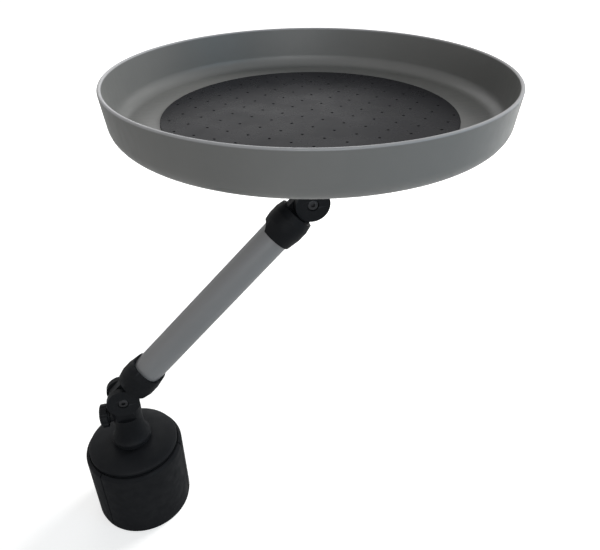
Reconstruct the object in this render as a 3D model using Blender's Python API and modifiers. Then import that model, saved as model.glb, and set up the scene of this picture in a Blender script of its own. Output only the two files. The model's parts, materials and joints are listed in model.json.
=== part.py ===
"""Car seat food tray: a round tray on a hinged arm that stands on an expanding cup-holder insert.

Lengths are in metres. The origin is the centre of the insert's underside, +Z is up,
and the arm leans towards +X.
"""

import math

import bmesh
import bpy
from mathutils import Matrix

# Driving dimensions of the whole product

arm_reach = 0.137
arm_rise = 0.135
clearance = 0.0003
overrun = 0.002

# Cup-holder insert

insert_radius = 0.035
insert_height = 0.060
shoulder_round = 0.003
pad_thickness = 0.0015
pad_edge_round = 0.0006
jaw_wall = 0.0032
jaw_lip_gap = 0.0001
jaw_flange_thickness = 0.003
jaw_count = 3
jaw_seam_gap = 0.0008
jaw_seam_turn_deg = -15.0
key_height = 0.0065
key_width = 0.014
key_gap = 0.0004
pin_radius = 0.0022
pin_height = 0.003
floor_thickness = 0.0025
floor_inset = 0.0006
floor_edge_round = 0.0008
column_step = 0.0015
deck_gap = 0.0005
hub_gap = 0.0009
floor_screw_edge = 0.0075
floor_screw_length = 0.014

# Expander dial

dial_edge_height = 0.0025
dial_dome_rise = 0.0041
dial_top_radius = 0.0145
dial_edge_round = 0.0014
dial_turn_deg = 100.0
slot_inner_wall = 0.0027
slot_rim = 0.006
slot_roof_gap = 0.0004

# Swivel spigots, the same on the insert and on the tray flange

spigot_radius = 0.0065
spigot_shoulder_radius = 0.0105
spigot_shoulder_proud = 0.0001
spigot_tip_round = 0.0008
groove_width = 0.0048
groove_depth = 0.0012
washer_thickness = 0.0008
washer_inset = 0.0006

# Forked posts, the same at both ends

post_radius = 0.0104
post_neck_height = 0.026
post_foot_radius = 0.014
post_foot_height = 0.0028
post_foot_round = 0.001
post_taper_height = 0.014
head_overhang = 0.0008
head_proud = 0.0004
fork_cheek = 0.0037
fork_web = 0.0019
fork_flat_below_slot = 0.0067
knob_below_tip = 0.0035

# Hinge hardware

bolt_radius = 0.002
bolt_head_radius = 0.0034
bolt_head_height = 0.0019
bolt_head_round = 0.0004
bolt_recess_depth = 0.0022
bolt_socket_radius = 0.0014
bolt_socket_depth = 0.0011
nut_half_flats = 0.0032
nut_thickness = 0.0019
friction_washer_radius = 0.0088
friction_washer_thickness = 0.0007

# Lock knobs

knob_radius = 0.0085
knob_length = 0.0073
knob_rim_height = 0.0038
knob_neck_radius = 0.0056
knob_neck_height = 0.0012
knob_flute_count = 8
knob_flute_radius = 0.0016
knob_boss_radius = 0.0052
knob_boss_proud = 0.0008
knob_boss_gap = 0.0005
stud_radius = 0.002
stud_tip_gap = 0.0004
stud_grip = 0.0038

# Sleeves and tube

tongue_radius = 0.0095
tongue_half_thickness = 0.003
sleeve_head_gap = 0.0005
sleeve_neck_wall = 0.0016
sleeve_belly_wall = 0.0028
sleeve_mouth_wall = 0.0012
sleeve_shoulder_length = 0.0053
sleeve_belly_length = 0.0065
sleeve_mouth_length = 0.0095
sleeve_mouth_round = 0.0006
scallop_depth = 0.005
scallop_radius = 0.0075
scallop_axis_gap = 0.001
scallop_turn_deg = 60.0
tube_radius = 0.0103
tube_wall = 0.0012
sleeve_screw_length = 0.0048

# Tray

tray_rim_radius = 0.115
tray_depth = 0.027
tray_wall_lean_deg = 6.6
tray_wall = 0.0022
tray_floor = 0.0022
tray_corner_radius = 0.0102
tray_inner_corner_radius = 0.008
tray_rim_round = 0.001
mat_margin = 0.0246
mat_thickness = 0.0012
mat_edge_round = 0.0004
flange_radius = 0.032
flange_thickness = 0.003
flange_neck_height = 0.008
flange_edge_round = 0.0008
flange_screw_circle = 0.022
flange_screw_count = 4
flange_screw_length = 0.008
flange_boss_radius = 0.0036
flange_boss_height = 0.0045

# Countersunk screws

screw_radius = 0.0014
screw_head_radius = 0.0027
screw_head_height = 0.0014
screw_recess_radius = 0.0009
screw_recess_depth = 0.0008
screw_sink = 0.0002

# Numbers of facets

tray_steps = 48
insert_steps = 36
flange_steps = 24
round_steps = 22
small_steps = 12
screw_steps = 8
fillet_steps = 2

# Insert and dial, worked out from the sizes above

jaw_bottom = floor_thickness + clearance
jaw_outer_radius = insert_radius - pad_thickness - clearance
jaw_inner_radius = jaw_outer_radius - jaw_wall
deck_radius = jaw_inner_radius - deck_gap
floor_screw_circle = deck_radius - floor_screw_edge
column_radius = spigot_shoulder_radius + column_step
key_inner_radius = column_radius + key_gap
dial_bottom = insert_height + clearance
dial_radius = insert_radius - shoulder_round
dial_top = dial_bottom + dial_edge_height + dial_dome_rise
slot_half_width = pin_radius + clearance
pin_start_radius = spigot_shoulder_radius + clearance + slot_inner_wall + slot_half_width
jaw_travel = dial_radius - slot_rim - pin_start_radius
jaw_flange_inner = dial_radius - jaw_travel - clearance
hub_radius = jaw_flange_inner - hub_gap

# Fork, spigot and knob, as distances from the hinge

head_radius = post_radius + head_overhang
fork_slot_half_width = tongue_half_thickness + friction_washer_thickness + 2 * clearance
fork_half_width = fork_slot_half_width + fork_cheek
fork_slot_depth = tongue_radius + clearance
fork_flat_drop = fork_slot_depth + fork_flat_below_slot
post_bore_top_drop = fork_slot_depth + fork_web
spigot_tip_drop = post_bore_top_drop + clearance
knob_drop = spigot_tip_drop + knob_below_tip
groove_drop = knob_drop - groove_width / 2
shoulder_drop = knob_drop + post_neck_height
post_foot_drop = shoulder_drop - washer_thickness - 2 * clearance
washer_outer_radius = post_foot_radius - washer_inset
knob_boss_reach = post_radius + knob_boss_proud
knob_inner_reach = knob_boss_reach + knob_boss_gap
knob_reach = knob_inner_reach + knob_length
stud_tip_reach = spigot_radius - groove_depth + stud_tip_gap
stud_head_reach = knob_inner_reach + stud_grip

# Sleeves, as distances from the hinge along the arm

sleeve_start = head_radius + sleeve_head_gap
sleeve_belly_start = sleeve_start + sleeve_shoulder_length
sleeve_belly_end = sleeve_belly_start + sleeve_belly_length
sleeve_length = sleeve_belly_end + sleeve_mouth_length
sleeve_neck_radius = tube_radius + sleeve_neck_wall
sleeve_belly_radius = tube_radius + sleeve_belly_wall
sleeve_mouth_radius = tube_radius + sleeve_mouth_wall
scallop_centre = sleeve_length - scallop_depth + scallop_radius

# Whole product

arm_angle = math.atan2(arm_rise, arm_reach)
arm_length = math.hypot(arm_reach, arm_rise)
shoulder_height = dial_top + spigot_shoulder_proud
hinge_height = shoulder_height + shoulder_drop
tray_hinge_height = hinge_height + arm_rise
flange_drop = shoulder_drop + flange_neck_height + flange_thickness
tray_underside = tray_hinge_height + flange_drop + clearance
tray_floor_top = tray_underside + tray_floor
tray_rim_height = tray_underside + tray_depth
tray_wall_lean = math.radians(tray_wall_lean_deg)
tray_wall_across = tray_wall / math.cos(tray_wall_lean)
tray_foot_radius = tray_rim_radius - tray_depth * math.tan(tray_wall_lean)
tray_floor_radius = tray_foot_radius + tray_floor * math.tan(tray_wall_lean) - tray_wall_across
mat_radius = tray_floor_radius - mat_margin


def clear_scene():
    for thing in list(bpy.data.objects):
        bpy.data.objects.remove(thing, do_unlink=True)


def new_collection(name):
    collection = bpy.data.collections.new(name)
    bpy.context.scene.collection.children.link(collection)
    return collection


def material(name, colour, roughness, metallic=0.0):
    made = bpy.data.materials.new(name)
    made.use_nodes = True
    shader = made.node_tree.nodes["Principled BSDF"]
    shader.inputs["Base Color"].default_value = (*colour, 1.0)
    shader.inputs["Roughness"].default_value = roughness
    shader.inputs["Metallic"].default_value = metallic
    made.diffuse_color = (*colour, 1.0)
    return made


def place(thing, collection, parent=None, finish=None):
    collection.objects.link(thing)
    thing.parent = parent
    if finish is not None:
        thing.data.materials.clear()
        thing.data.materials.append(finish)
    return thing


def empty(name, collection, location=(0, 0, 0), rotation=(0, 0, 0), parent=None):
    frame = bpy.data.objects.new(name, None)
    frame.location = location
    frame.rotation_euler = rotation
    frame.empty_display_size = clearance
    return place(frame, collection, parent)


def make_cutter(thing):
    """Hide a helper solid that only shapes other pieces."""
    thing.hide_render = True
    thing.display_type = "WIRE"
    return thing


def rounded(corners, steps=fillet_steps):
    """Closed outline from corners: (x, y), or (x, y, radius) to round one, with steps as a fourth value."""
    points = []
    count = len(corners)
    for index, corner in enumerate(corners):
        radius = corner[2] if len(corner) > 2 else 0
        here = corner[:2]
        if radius == 0:
            points.append(here)
            continue
        before = corners[index - 1][:2]
        after = corners[(index + 1) % count][:2]
        points.extend(fillet(before, here, after, radius, corner[3] if len(corner) > 3 else steps))
    return points


def fillet(before, here, after, radius, steps):
    """Points of the arc that rounds the corner at here."""
    to_before = math.atan2(before[1] - here[1], before[0] - here[0])
    to_after = math.atan2(after[1] - here[1], after[0] - here[0])
    half = (to_after - to_before) / 2
    half = math.atan2(math.sin(2 * half), math.cos(2 * half)) / 2
    away = radius / abs(math.sin(half))
    middle = to_before + half
    centre = (here[0] + away * math.cos(middle), here[1] + away * math.sin(middle))
    sweep = (math.pi - 2 * abs(half)) * math.copysign(1, half)
    start = to_before - math.copysign(math.pi / 2, half)
    return [
        (
            centre[0] + radius * math.cos(start - sweep * step / steps),
            centre[1] + radius * math.sin(start - sweep * step / steps),
        )
        for step in range(steps + 1)
    ]


def turned(name, profile, steps, collection, parent=None, finish=None, ring=False):
    """Solid of revolution about Z. The profile runs from top to bottom down its outer side."""
    mesh = bpy.data.meshes.new(name)
    count = len(profile)
    links = [(index, index + 1) for index in range(count - 1)]
    if ring:
        links.append((count - 1, 0))
    mesh.from_pydata([(radius, 0, height) for radius, height in profile], links, [])
    thing = bpy.data.objects.new(name, mesh)
    place(thing, collection, parent, finish)
    screw = thing.modifiers.new("Turn", "SCREW")
    screw.steps = steps
    screw.render_steps = steps
    screw.use_merge_vertices = True
    screw.merge_threshold = clearance / 100
    screw.use_smooth_shade = True
    return thing


def extruded(name, outline, low, high, collection, parent=None, finish=None):
    """Flat outline in XY raised from low to high along Z."""
    curve = bpy.data.curves.new(name, "CURVE")
    curve.dimensions = "2D"
    curve.fill_mode = "BOTH"
    curve.extrude = (high - low) / 2
    spline = curve.splines.new("POLY")
    spline.points.add(len(outline) - 1)
    for point, (x, y) in zip(spline.points, outline):
        point.co = (x, y, 0, 1)
    spline.use_cyclic_u = True
    shape = bpy.data.objects.new(name, curve)
    bpy.context.scene.collection.objects.link(shape)
    bpy.context.view_layer.update()
    evaluated = shape.evaluated_get(bpy.context.evaluated_depsgraph_get())
    mesh = bpy.data.meshes.new_from_object(evaluated)
    bpy.data.objects.remove(shape)
    bpy.data.curves.remove(curve)
    mesh.transform(Matrix.Translation((0, 0, (low + high) / 2)))
    weld(mesh)
    thing = bpy.data.objects.new(name, mesh)
    return place(thing, collection, parent, finish)


def weld(mesh):
    cage = bmesh.new()
    cage.from_mesh(mesh)
    bmesh.ops.remove_doubles(cage, verts=cage.verts, dist=clearance / 100)
    bmesh.ops.recalc_face_normals(cage, faces=cage.faces)
    cage.to_mesh(mesh)
    cage.free()


def block(name, low, high, collection, parent=None, finish=None):
    """Box between two corners."""
    size = [top - bottom for bottom, top in zip(low, high)]
    middle = [(top + bottom) / 2 for bottom, top in zip(low, high)]
    cage = bmesh.new()
    bmesh.ops.create_cube(cage, size=1)
    bmesh.ops.scale(cage, vec=size, verts=cage.verts)
    bmesh.ops.translate(cage, vec=middle, verts=cage.verts)
    mesh = bpy.data.meshes.new(name)
    cage.to_mesh(mesh)
    cage.free()
    thing = bpy.data.objects.new(name, mesh)
    return place(thing, collection, parent, finish)


def rod(name, radius, low, high, axis, collection, parent=None, finish=None,
        steps=small_steps, top_radius=None, centre=(0, 0)):
    """Round bar or cone along X, Y or Z from low to high. Centre gives its place across the axis."""
    cage = bmesh.new()
    end_radius = radius if top_radius is None else top_radius
    bmesh.ops.create_cone(
        cage, cap_ends=True, segments=steps, radius1=radius, radius2=end_radius, depth=high - low
    )
    bmesh.ops.translate(cage, vec=(0, 0, (high + low) / 2), verts=cage.verts)
    bmesh.ops.transform(cage, matrix=turn_to(axis), verts=cage.verts)
    shift = {"X": (0, *centre), "Y": (centre[0], 0, centre[1]), "Z": (*centre, 0)}[axis]
    bmesh.ops.translate(cage, vec=shift, verts=cage.verts)
    mesh = bpy.data.meshes.new(name)
    cage.to_mesh(mesh)
    cage.free()
    thing = bpy.data.objects.new(name, mesh)
    return place(thing, collection, parent, finish)


def turn_to(axis):
    """Turn that carries +Z to the named axis."""
    quarter = math.radians(90)
    if axis == "X":
        return Matrix.Rotation(quarter, 4, "Y")
    if axis == "Y":
        return Matrix.Rotation(-quarter, 4, "X")
    return Matrix.Identity(4)


def combine(thing, operation, other):
    """Cut, join or trim a piece with a hidden helper."""
    step = thing.modifiers.new(other.name, "BOOLEAN")
    step.operation = operation
    step.solver = "EXACT"
    step.object = make_cutter(other)


def cut(thing, *others):
    for other in others:
        combine(thing, "DIFFERENCE", other)


def join(thing, *others):
    for other in others:
        combine(thing, "UNION", other)


def shade_round(mesh):
    mesh.shade_smooth()
    mesh.set_sharp_from_angle(angle=math.radians(35))


def settle(thing):
    """Bake a piece's modifiers into its mesh, so that copies can share it."""
    bpy.context.view_layer.update()
    graph = bpy.context.evaluated_depsgraph_get()
    mesh = bpy.data.meshes.new_from_object(thing.evaluated_get(graph))
    mesh.name = thing.name
    thing.modifiers.clear()
    thing.data = mesh
    shade_round(mesh)
    return thing


def twin(thing, name, collection, parent):
    """Copy of a settled piece under another parent."""
    copy = bpy.data.objects.new(name, thing.data)
    return place(copy, collection, parent)


def spigot_profile(top):
    """Outer side of a swivel spigot, from its tip down to the shoulder, under a hinge at height top."""
    tip = top - spigot_tip_drop
    groove_top = top - groove_drop
    groove_low = groove_top - groove_width
    shoulder = top - shoulder_drop
    groove_radius = spigot_radius - groove_depth
    return [
        (0, tip),
        (spigot_radius - spigot_tip_round, tip),
        (spigot_radius, tip - spigot_tip_round),
        (spigot_radius, groove_top),
        (groove_radius, groove_top),
        (groove_radius, groove_low),
        (spigot_radius, groove_low),
        (spigot_radius, shoulder),
    ]


def countersunk_screw(name, length, collection, parent, finish):
    """Screw whose flat head lies just under the plane z = 0, with its shank running down."""
    head = -screw_sink
    profile = [
        (0, head - screw_recess_depth),
        (screw_recess_radius, head - screw_recess_depth),
        (screw_recess_radius, head),
        (screw_head_radius, head),
        (screw_radius, head - screw_head_height),
        (screw_radius, screw_radius - length),
        (0, -length),
    ]
    return turned(name, profile, screw_steps, collection, parent, finish)


def screw_hole(name, length, collection, parent):
    """Cutter for a countersunk screw whose head lies just under the plane z = 0."""
    head = -screw_sink
    profile = [
        (0, overrun),
        (screw_head_radius + clearance, overrun),
        (screw_head_radius + clearance, head),
        (screw_radius + clearance, head - screw_head_height),
        (screw_radius + clearance, -length - clearance),
        (0, -length - clearance),
    ]
    return turned(name, profile, screw_steps, collection, parent)


def around(count, index):
    return math.tau * index / count


# Cup-holder insert


def make_core(parts, cutters, finish):
    profile = spigot_profile(hinge_height) + [
        (spigot_shoulder_radius, shoulder_height),
        (spigot_shoulder_radius, insert_height),
        (hub_radius, insert_height),
        (hub_radius, insert_height - jaw_flange_thickness - clearance),
        (deck_radius, insert_height - jaw_flange_thickness - clearance),
        (deck_radius, jaw_bottom),
        (0, jaw_bottom),
    ]
    core = turned("insert_core", profile, insert_steps, parts, None, finish)
    for index in range(jaw_count):
        facing = empty("guide_%d" % (index + 1), cutters, rotation=(0, 0, jaw_azimuth(index)))
        channel = block(
            "guide_channel_%d" % (index + 1),
            (column_radius, -key_width / 2 - clearance, jaw_bottom - overrun),
            (deck_radius + overrun, key_width / 2 + clearance, insert_height + overrun),
            cutters, facing,
        )
        cut(core, channel)
    for index in range(jaw_count):
        seat = floor_screw_seat(index, cutters)
        cut(core, screw_hole("core_screw_hole_%d" % (index + 1), floor_screw_length, cutters, seat))
    return core


def jaw_azimuth(index):
    """Direction that a jaw slides in, half a share further round than the seam before it."""
    return seam_azimuth(index) + math.pi / jaw_count


def seam_azimuth(index):
    return around(jaw_count, index) + math.radians(jaw_seam_turn_deg)


def floor_screw_seat(index, cutters):
    """Frame at a floor screw's head, with the screw running up into the core between two jaws."""
    angle = seam_azimuth(index)
    spot = (floor_screw_circle * math.cos(angle), floor_screw_circle * math.sin(angle), 0)
    return empty("floor_screw_seat", cutters, spot, (math.pi, 0, 0))


def make_floor_plate(parts, cutters, finish):
    radius = insert_radius - floor_inset
    profile = rounded([
        (0, floor_thickness), (radius, floor_thickness), (radius, 0, floor_edge_round), (0, 0),
    ])
    plate = turned("insert_floor_plate", profile, insert_steps, parts, None, finish)
    for index in range(jaw_count):
        seat = floor_screw_seat(index, cutters)
        cut(plate, screw_hole("plate_screw_hole_%d" % (index + 1), floor_screw_length, cutters, seat))
    return plate


def make_floor_screws(parts, cutters, finish):
    for index in range(jaw_count):
        seat = floor_screw_seat(index, cutters)
        countersunk_screw("insert_screw_%d" % (index + 1), floor_screw_length, parts, seat, finish)


def jaw_wedge(name, cutters, parent):
    """Sector that one jaw fills, drawn in by half the seam gap on both sides."""
    half = math.pi / jaw_count
    setback = jaw_seam_gap / 2 / math.sin(half)
    far = 2 * insert_radius
    outline = [
        (setback, 0),
        (setback + far * math.cos(half), -far * math.sin(half)),
        (setback + far, -far * math.sin(half)),
        (setback + far, far * math.sin(half)),
        (setback + far * math.cos(half), far * math.sin(half)),
    ]
    return extruded(name, outline, -overrun, insert_height + overrun, cutters, parent)


def make_jaws(parts, cutters, finish, rubber):
    """Three jaws with rubber pads. One of each is modelled along +X and the others are its copies."""
    first_jaw = None
    for index in range(jaw_count):
        number = index + 1
        facing = empty("jaw_slide_%d" % number, parts, rotation=(0, 0, jaw_azimuth(index)))
        if first_jaw is None:
            first_jaw = settle(jaw_body("jaw_%d" % number, parts, cutters, facing, finish))
            first_pad = settle(jaw_pad("jaw_pad_%d" % number, parts, cutters, facing, rubber))
        else:
            twin(first_jaw, "jaw_%d" % number, parts, facing)
            twin(first_pad, "jaw_pad_%d" % number, parts, facing)


def jaw_body(name, parts, cutters, facing, finish):
    lip_radius = insert_radius - shoulder_round - jaw_lip_gap
    shoulder_low = insert_height - shoulder_round
    inner_round = shoulder_round - pad_thickness - clearance
    lip_low = shoulder_low + inner_round
    flange_low = insert_height - jaw_flange_thickness
    profile = rounded([
        (jaw_flange_inner, insert_height),
        (lip_radius, insert_height),
        (lip_radius, lip_low),
        (jaw_outer_radius, lip_low, inner_round),
        (jaw_outer_radius, jaw_bottom),
        (jaw_inner_radius, jaw_bottom),
        (jaw_inner_radius, flange_low),
        (jaw_flange_inner, flange_low),
    ])
    jaw = turned(name, profile, insert_steps, parts, facing, finish, ring=True)
    combine(jaw, "INTERSECT", jaw_wedge("jaw_wedge", cutters, facing))
    half = key_width / 2
    reach = math.sqrt((jaw_inner_radius + jaw_wall / 2) ** 2 - half ** 2)
    low = flange_low - key_height
    upper = block("upper_key", (key_inner_radius, -half, low), (reach, half, insert_height), cutters, facing)
    lower = block(
        "lower_key", (key_inner_radius, -half, jaw_bottom), (reach, half, jaw_bottom + key_height),
        cutters, facing,
    )
    pin = rod(
        "jaw_pin", pin_radius, insert_height - overrun, insert_height + pin_height, "Z",
        cutters, facing, centre=(pin_start_radius, 0),
    )
    join(jaw, upper, lower, pin)
    return jaw


def jaw_pad(name, parts, cutters, facing, rubber):
    """Rubber skin that wraps the jaw and rolls in over its shoulder."""
    shoulder_low = insert_height - shoulder_round
    centre = insert_radius - shoulder_round
    inner_round = shoulder_round - pad_thickness
    roll = math.radians(80)
    outer = [
        (centre + shoulder_round * math.cos(angle), shoulder_low + shoulder_round * math.sin(angle))
        for angle in arc_steps(roll, 0, 2 * fillet_steps)
    ]
    inner = [
        (centre + inner_round * math.cos(angle), shoulder_low + inner_round * math.sin(angle))
        for angle in arc_steps(0, roll, fillet_steps)
    ]
    foot = rounded([
        (insert_radius, shoulder_low),
        (insert_radius, jaw_bottom, pad_edge_round),
        (insert_radius - pad_thickness, jaw_bottom),
    ])[1:]
    pad = turned(name, outer + foot + inner, insert_steps, parts, facing, rubber, ring=True)
    combine(pad, "INTERSECT", jaw_wedge("pad_wedge", cutters, facing))
    return pad


def arc_steps(start, end, steps):
    return [start + (end - start) * step / steps for step in range(steps + 1)]


# Expander dial


def slot_outline(index):
    """Outline of one spiral slot. A pin in it moves out in step with the dial's turn."""
    turn = math.radians(dial_turn_deg)
    rise = jaw_travel / turn
    steps = small_steps
    centres = []
    for step in range(steps + 1):
        turned_by = turn * step / steps
        angle = jaw_azimuth(index) - turned_by
        radius = pin_start_radius + rise * turned_by
        tangent = angle + math.atan2(-radius, rise)
        centres.append((radius * math.cos(angle), radius * math.sin(angle), tangent))
    left = [
        (x - slot_half_width * math.sin(tangent), y + slot_half_width * math.cos(tangent))
        for x, y, tangent in centres
    ]
    right = [
        (x + slot_half_width * math.sin(tangent), y - slot_half_width * math.cos(tangent))
        for x, y, tangent in reversed(centres)
    ]
    quarter = math.pi / 2
    x, y, tangent = centres[-1]
    far_end = [
        (x + slot_half_width * math.cos(tangent + angle), y + slot_half_width * math.sin(tangent + angle))
        for angle in arc_steps(quarter, -quarter, 2 * fillet_steps)[1:-1]
    ]
    x, y, tangent = centres[0]
    near_end = [
        (x - slot_half_width * math.cos(tangent + angle), y - slot_half_width * math.sin(tangent + angle))
        for angle in arc_steps(quarter, -quarter, 2 * fillet_steps)[1:-1]
    ]
    return left + far_end + right + near_end


def make_dial(parts, cutters, finish):
    edge_top = dial_bottom + dial_edge_height
    bore = spigot_shoulder_radius + clearance
    dome = [
        (
            dial_top_radius + (dial_radius - dial_top_radius) * math.cos(angle),
            edge_top + dial_dome_rise * math.sin(angle),
        )
        for angle in arc_steps(math.pi / 2, 0, 2 * fillet_steps)
    ]
    profile = [(bore, edge_top + dial_dome_rise)] + dome + [
        (dial_radius, dial_bottom + dial_edge_round),
        (dial_radius - dial_edge_round, dial_bottom),
        (bore, dial_bottom),
    ]
    dial = turned("expander_dial", profile, insert_steps, parts, None, finish, ring=True)
    roof = dial_bottom + pin_height + slot_roof_gap
    for index in range(jaw_count):
        name = "scroll_slot_%d" % (index + 1)
        cut(dial, extruded(name, slot_outline(index), dial_bottom - overrun, roof, cutters))
    return dial


# Swivel washers, posts and hinge hardware, all drawn in a frame at the hinge with the post below it


def make_swivel_washer(name, parts, frame, finish):
    low = -shoulder_drop + clearance
    profile = [
        (spigot_radius + clearance, low + washer_thickness),
        (washer_outer_radius, low + washer_thickness),
        (washer_outer_radius, low),
        (spigot_radius + clearance, low),
    ]
    return turned(name, profile, round_steps, parts, frame, finish, ring=True)


def post_profile():
    foot = -post_foot_drop
    taper_end = foot + post_foot_height + post_taper_height
    waist = [
        (
            post_radius + (post_foot_radius - post_radius) * (1 - math.cos(angle)),
            taper_end - post_taper_height * math.sin(angle),
        )
        for angle in arc_steps(0, math.pi / 2, 2 * fillet_steps)
    ]
    return [(0, 0), (post_radius, 0)] + waist + [
        (post_foot_radius, foot + post_foot_round),
        (post_foot_radius - post_foot_round, foot),
        (0, foot),
    ]


def make_post(name, parts, cutters, frame, finish):
    """Turned post with two flats, a round head across them and a slot that makes the head a fork."""
    post = turned(name, post_profile(), round_steps, parts, frame, finish)
    boss = rod(name + "_boss", knob_boss_radius, (spigot_radius + post_radius) / 2, knob_boss_reach, "X",
               cutters, knob_frame(name + "_boss_frame", cutters, frame))
    join(post, boss)
    wide = post_foot_radius + overrun
    for side_name, sign in (("near", -1), ("far", 1)):
        inner, outer = sorted((sign * fork_half_width, sign * wide))
        flat = block(name + "_flat_" + side_name, (-post_radius - overrun, inner, -fork_flat_drop),
                     (post_radius + overrun, outer, wide), cutters, frame)
        cut(post, flat)
    cheek_face = fork_half_width + head_proud
    head = rod(name + "_head", head_radius, -cheek_face, cheek_face, "Y", cutters, frame, steps=round_steps)
    join(post, head)
    slot = block(name + "_slot", (-wide, -fork_slot_half_width, -fork_slot_depth),
                 (wide, fork_slot_half_width, wide), cutters, frame)
    bore = rod(name + "_bore", spigot_radius + clearance, -post_foot_drop - overrun,
               -post_bore_top_drop, "Z", cutters, frame, steps=round_steps)
    hinge_hole = rod(name + "_hinge_hole", bolt_radius + clearance, -wide, wide, "Y", cutters, frame)
    recess = rod(name + "_recess", bolt_head_radius + clearance, -wide,
                 bolt_recess_depth - fork_half_width, "Y", cutters, frame)
    pocket = rod(name + "_pocket", hex_corner(nut_half_flats + clearance),
                 fork_half_width - bolt_recess_depth, wide, "Y", cutters, frame, steps=6)
    stud_hole = rod(name + "_stud_hole", stud_radius + clearance, 0, knob_reach, "X", cutters,
                    knob_frame(name + "_stud_frame", cutters, frame))
    cut(post, slot, bore, hinge_hole, recess, pocket, stud_hole)
    return post


def hex_corner(half_flats):
    return half_flats / math.cos(math.pi / 6)


def knob_frame(name, collection, frame):
    """Frame on the lock knob's axis, whose +X points out of the back of the post."""
    return empty(name, collection, (0, 0, -knob_drop), (0, 0, math.pi), frame)


def make_bolt(name, parts, cutters, frame, finish):
    """Cap screw through the fork, its head towards -Y."""
    turn = empty(name + "_axis", cutters, rotation=(math.pi / 2, 0, 0), parent=frame)
    seat = fork_half_width - bolt_recess_depth + clearance
    top = seat + bolt_head_height
    profile = rounded([
        (0, top - bolt_socket_depth),
        (bolt_socket_radius, top - bolt_socket_depth),
        (bolt_socket_radius, top),
        (bolt_head_radius, top, bolt_head_round),
        (bolt_head_radius, seat),
        (bolt_radius, seat),
        (bolt_radius, clearance - fork_half_width),
        (0, clearance - fork_half_width),
    ])
    return turned(name, profile, small_steps, parts, turn, finish)


def make_nut(name, parts, cutters, frame, finish):
    seat = fork_half_width - bolt_recess_depth + clearance
    nut = rod(name, hex_corner(nut_half_flats), seat, seat + nut_thickness, "Y", parts, frame, finish,
              steps=6)
    cut(nut, rod(name + "_thread", bolt_radius + clearance, 0, fork_half_width, "Y", cutters, frame))
    return nut


def make_friction_washer(name, sign, parts, cutters, frame, finish):
    inner = tongue_half_thickness + clearance
    low, high = sorted((sign * inner, sign * (inner + friction_washer_thickness)))
    washer = rod(name, friction_washer_radius, low, high, "Y", parts, frame, finish, steps=round_steps)
    cut(washer, rod(name + "_hole", bolt_radius + clearance, -fork_half_width, fork_half_width, "Y",
                    cutters, frame))
    return washer


def make_knob(name, parts, cutters, axis, finish):
    """Fluted lock knob, turned about its own axis."""
    rim_end = knob_inner_reach + knob_neck_height + knob_rim_height
    dome = [
        (knob_radius * math.sin(angle), rim_end + (knob_reach - rim_end) * math.cos(angle))
        for angle in arc_steps(0, math.pi / 2, 2 * fillet_steps)
    ]
    profile = dome + [
        (knob_radius, knob_inner_reach + knob_neck_height),
        (knob_neck_radius, knob_inner_reach + knob_neck_height),
        (knob_neck_radius, knob_inner_reach),
        (0, knob_inner_reach),
    ]
    upright = empty(name + "_turn", cutters, rotation=(0, math.pi / 2, 0), parent=axis)
    knob = turned(name, profile, round_steps, parts, upright, finish)
    for index in range(knob_flute_count):
        angle = around(knob_flute_count, index)
        spot = (knob_radius + knob_flute_radius / 2) * math.cos(angle)
        side = (knob_radius + knob_flute_radius / 2) * math.sin(angle)
        flute = rod("%s_flute_%d" % (name, index + 1), knob_flute_radius, knob_inner_reach,
                    knob_reach + overrun, "Z", cutters, upright, centre=(spot, side), steps=screw_steps)
        cut(knob, flute)
    cut(knob, rod(name + "_bore", stud_radius + clearance, 0, stud_head_reach + clearance, "Z",
                  cutters, upright))
    return knob


def make_stud(name, parts, axis, finish):
    return rod(name, stud_radius, stud_tip_reach, stud_head_reach, "X", parts, axis, finish)


def make_post_set(end, parts, cutters, frame, looks):
    """Everything that turns with one post: fork, bolt, nut, washers, lock knob and stud."""
    make_post(end + "_post", parts, cutters, frame, looks["joint"])
    make_bolt(end + "_hinge_bolt", parts, cutters, frame, looks["steel"])
    make_nut(end + "_hinge_nut", parts, cutters, frame, looks["steel"])
    make_friction_washer(end + "_friction_washer_near", -1, parts, cutters, frame, looks["rubber"])
    make_friction_washer(end + "_friction_washer_far", 1, parts, cutters, frame, looks["rubber"])
    axis = knob_frame(end + "_knob_axis", parts, frame)
    make_knob(end + "_lock_knob", parts, cutters, axis, looks["joint"])
    make_stud(end + "_lock_stud", parts, axis, looks["steel"])


# Arm


def sleeve_profile():
    return rounded([
        (0, sleeve_length),
        (sleeve_mouth_radius, sleeve_length, sleeve_mouth_round),
        (sleeve_belly_radius, sleeve_belly_end, sleeve_belly_radius - sleeve_mouth_radius),
        (sleeve_belly_radius, sleeve_belly_start, sleeve_belly_radius - sleeve_neck_radius),
        (sleeve_neck_radius, sleeve_start),
        (0, sleeve_start),
    ])


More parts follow.
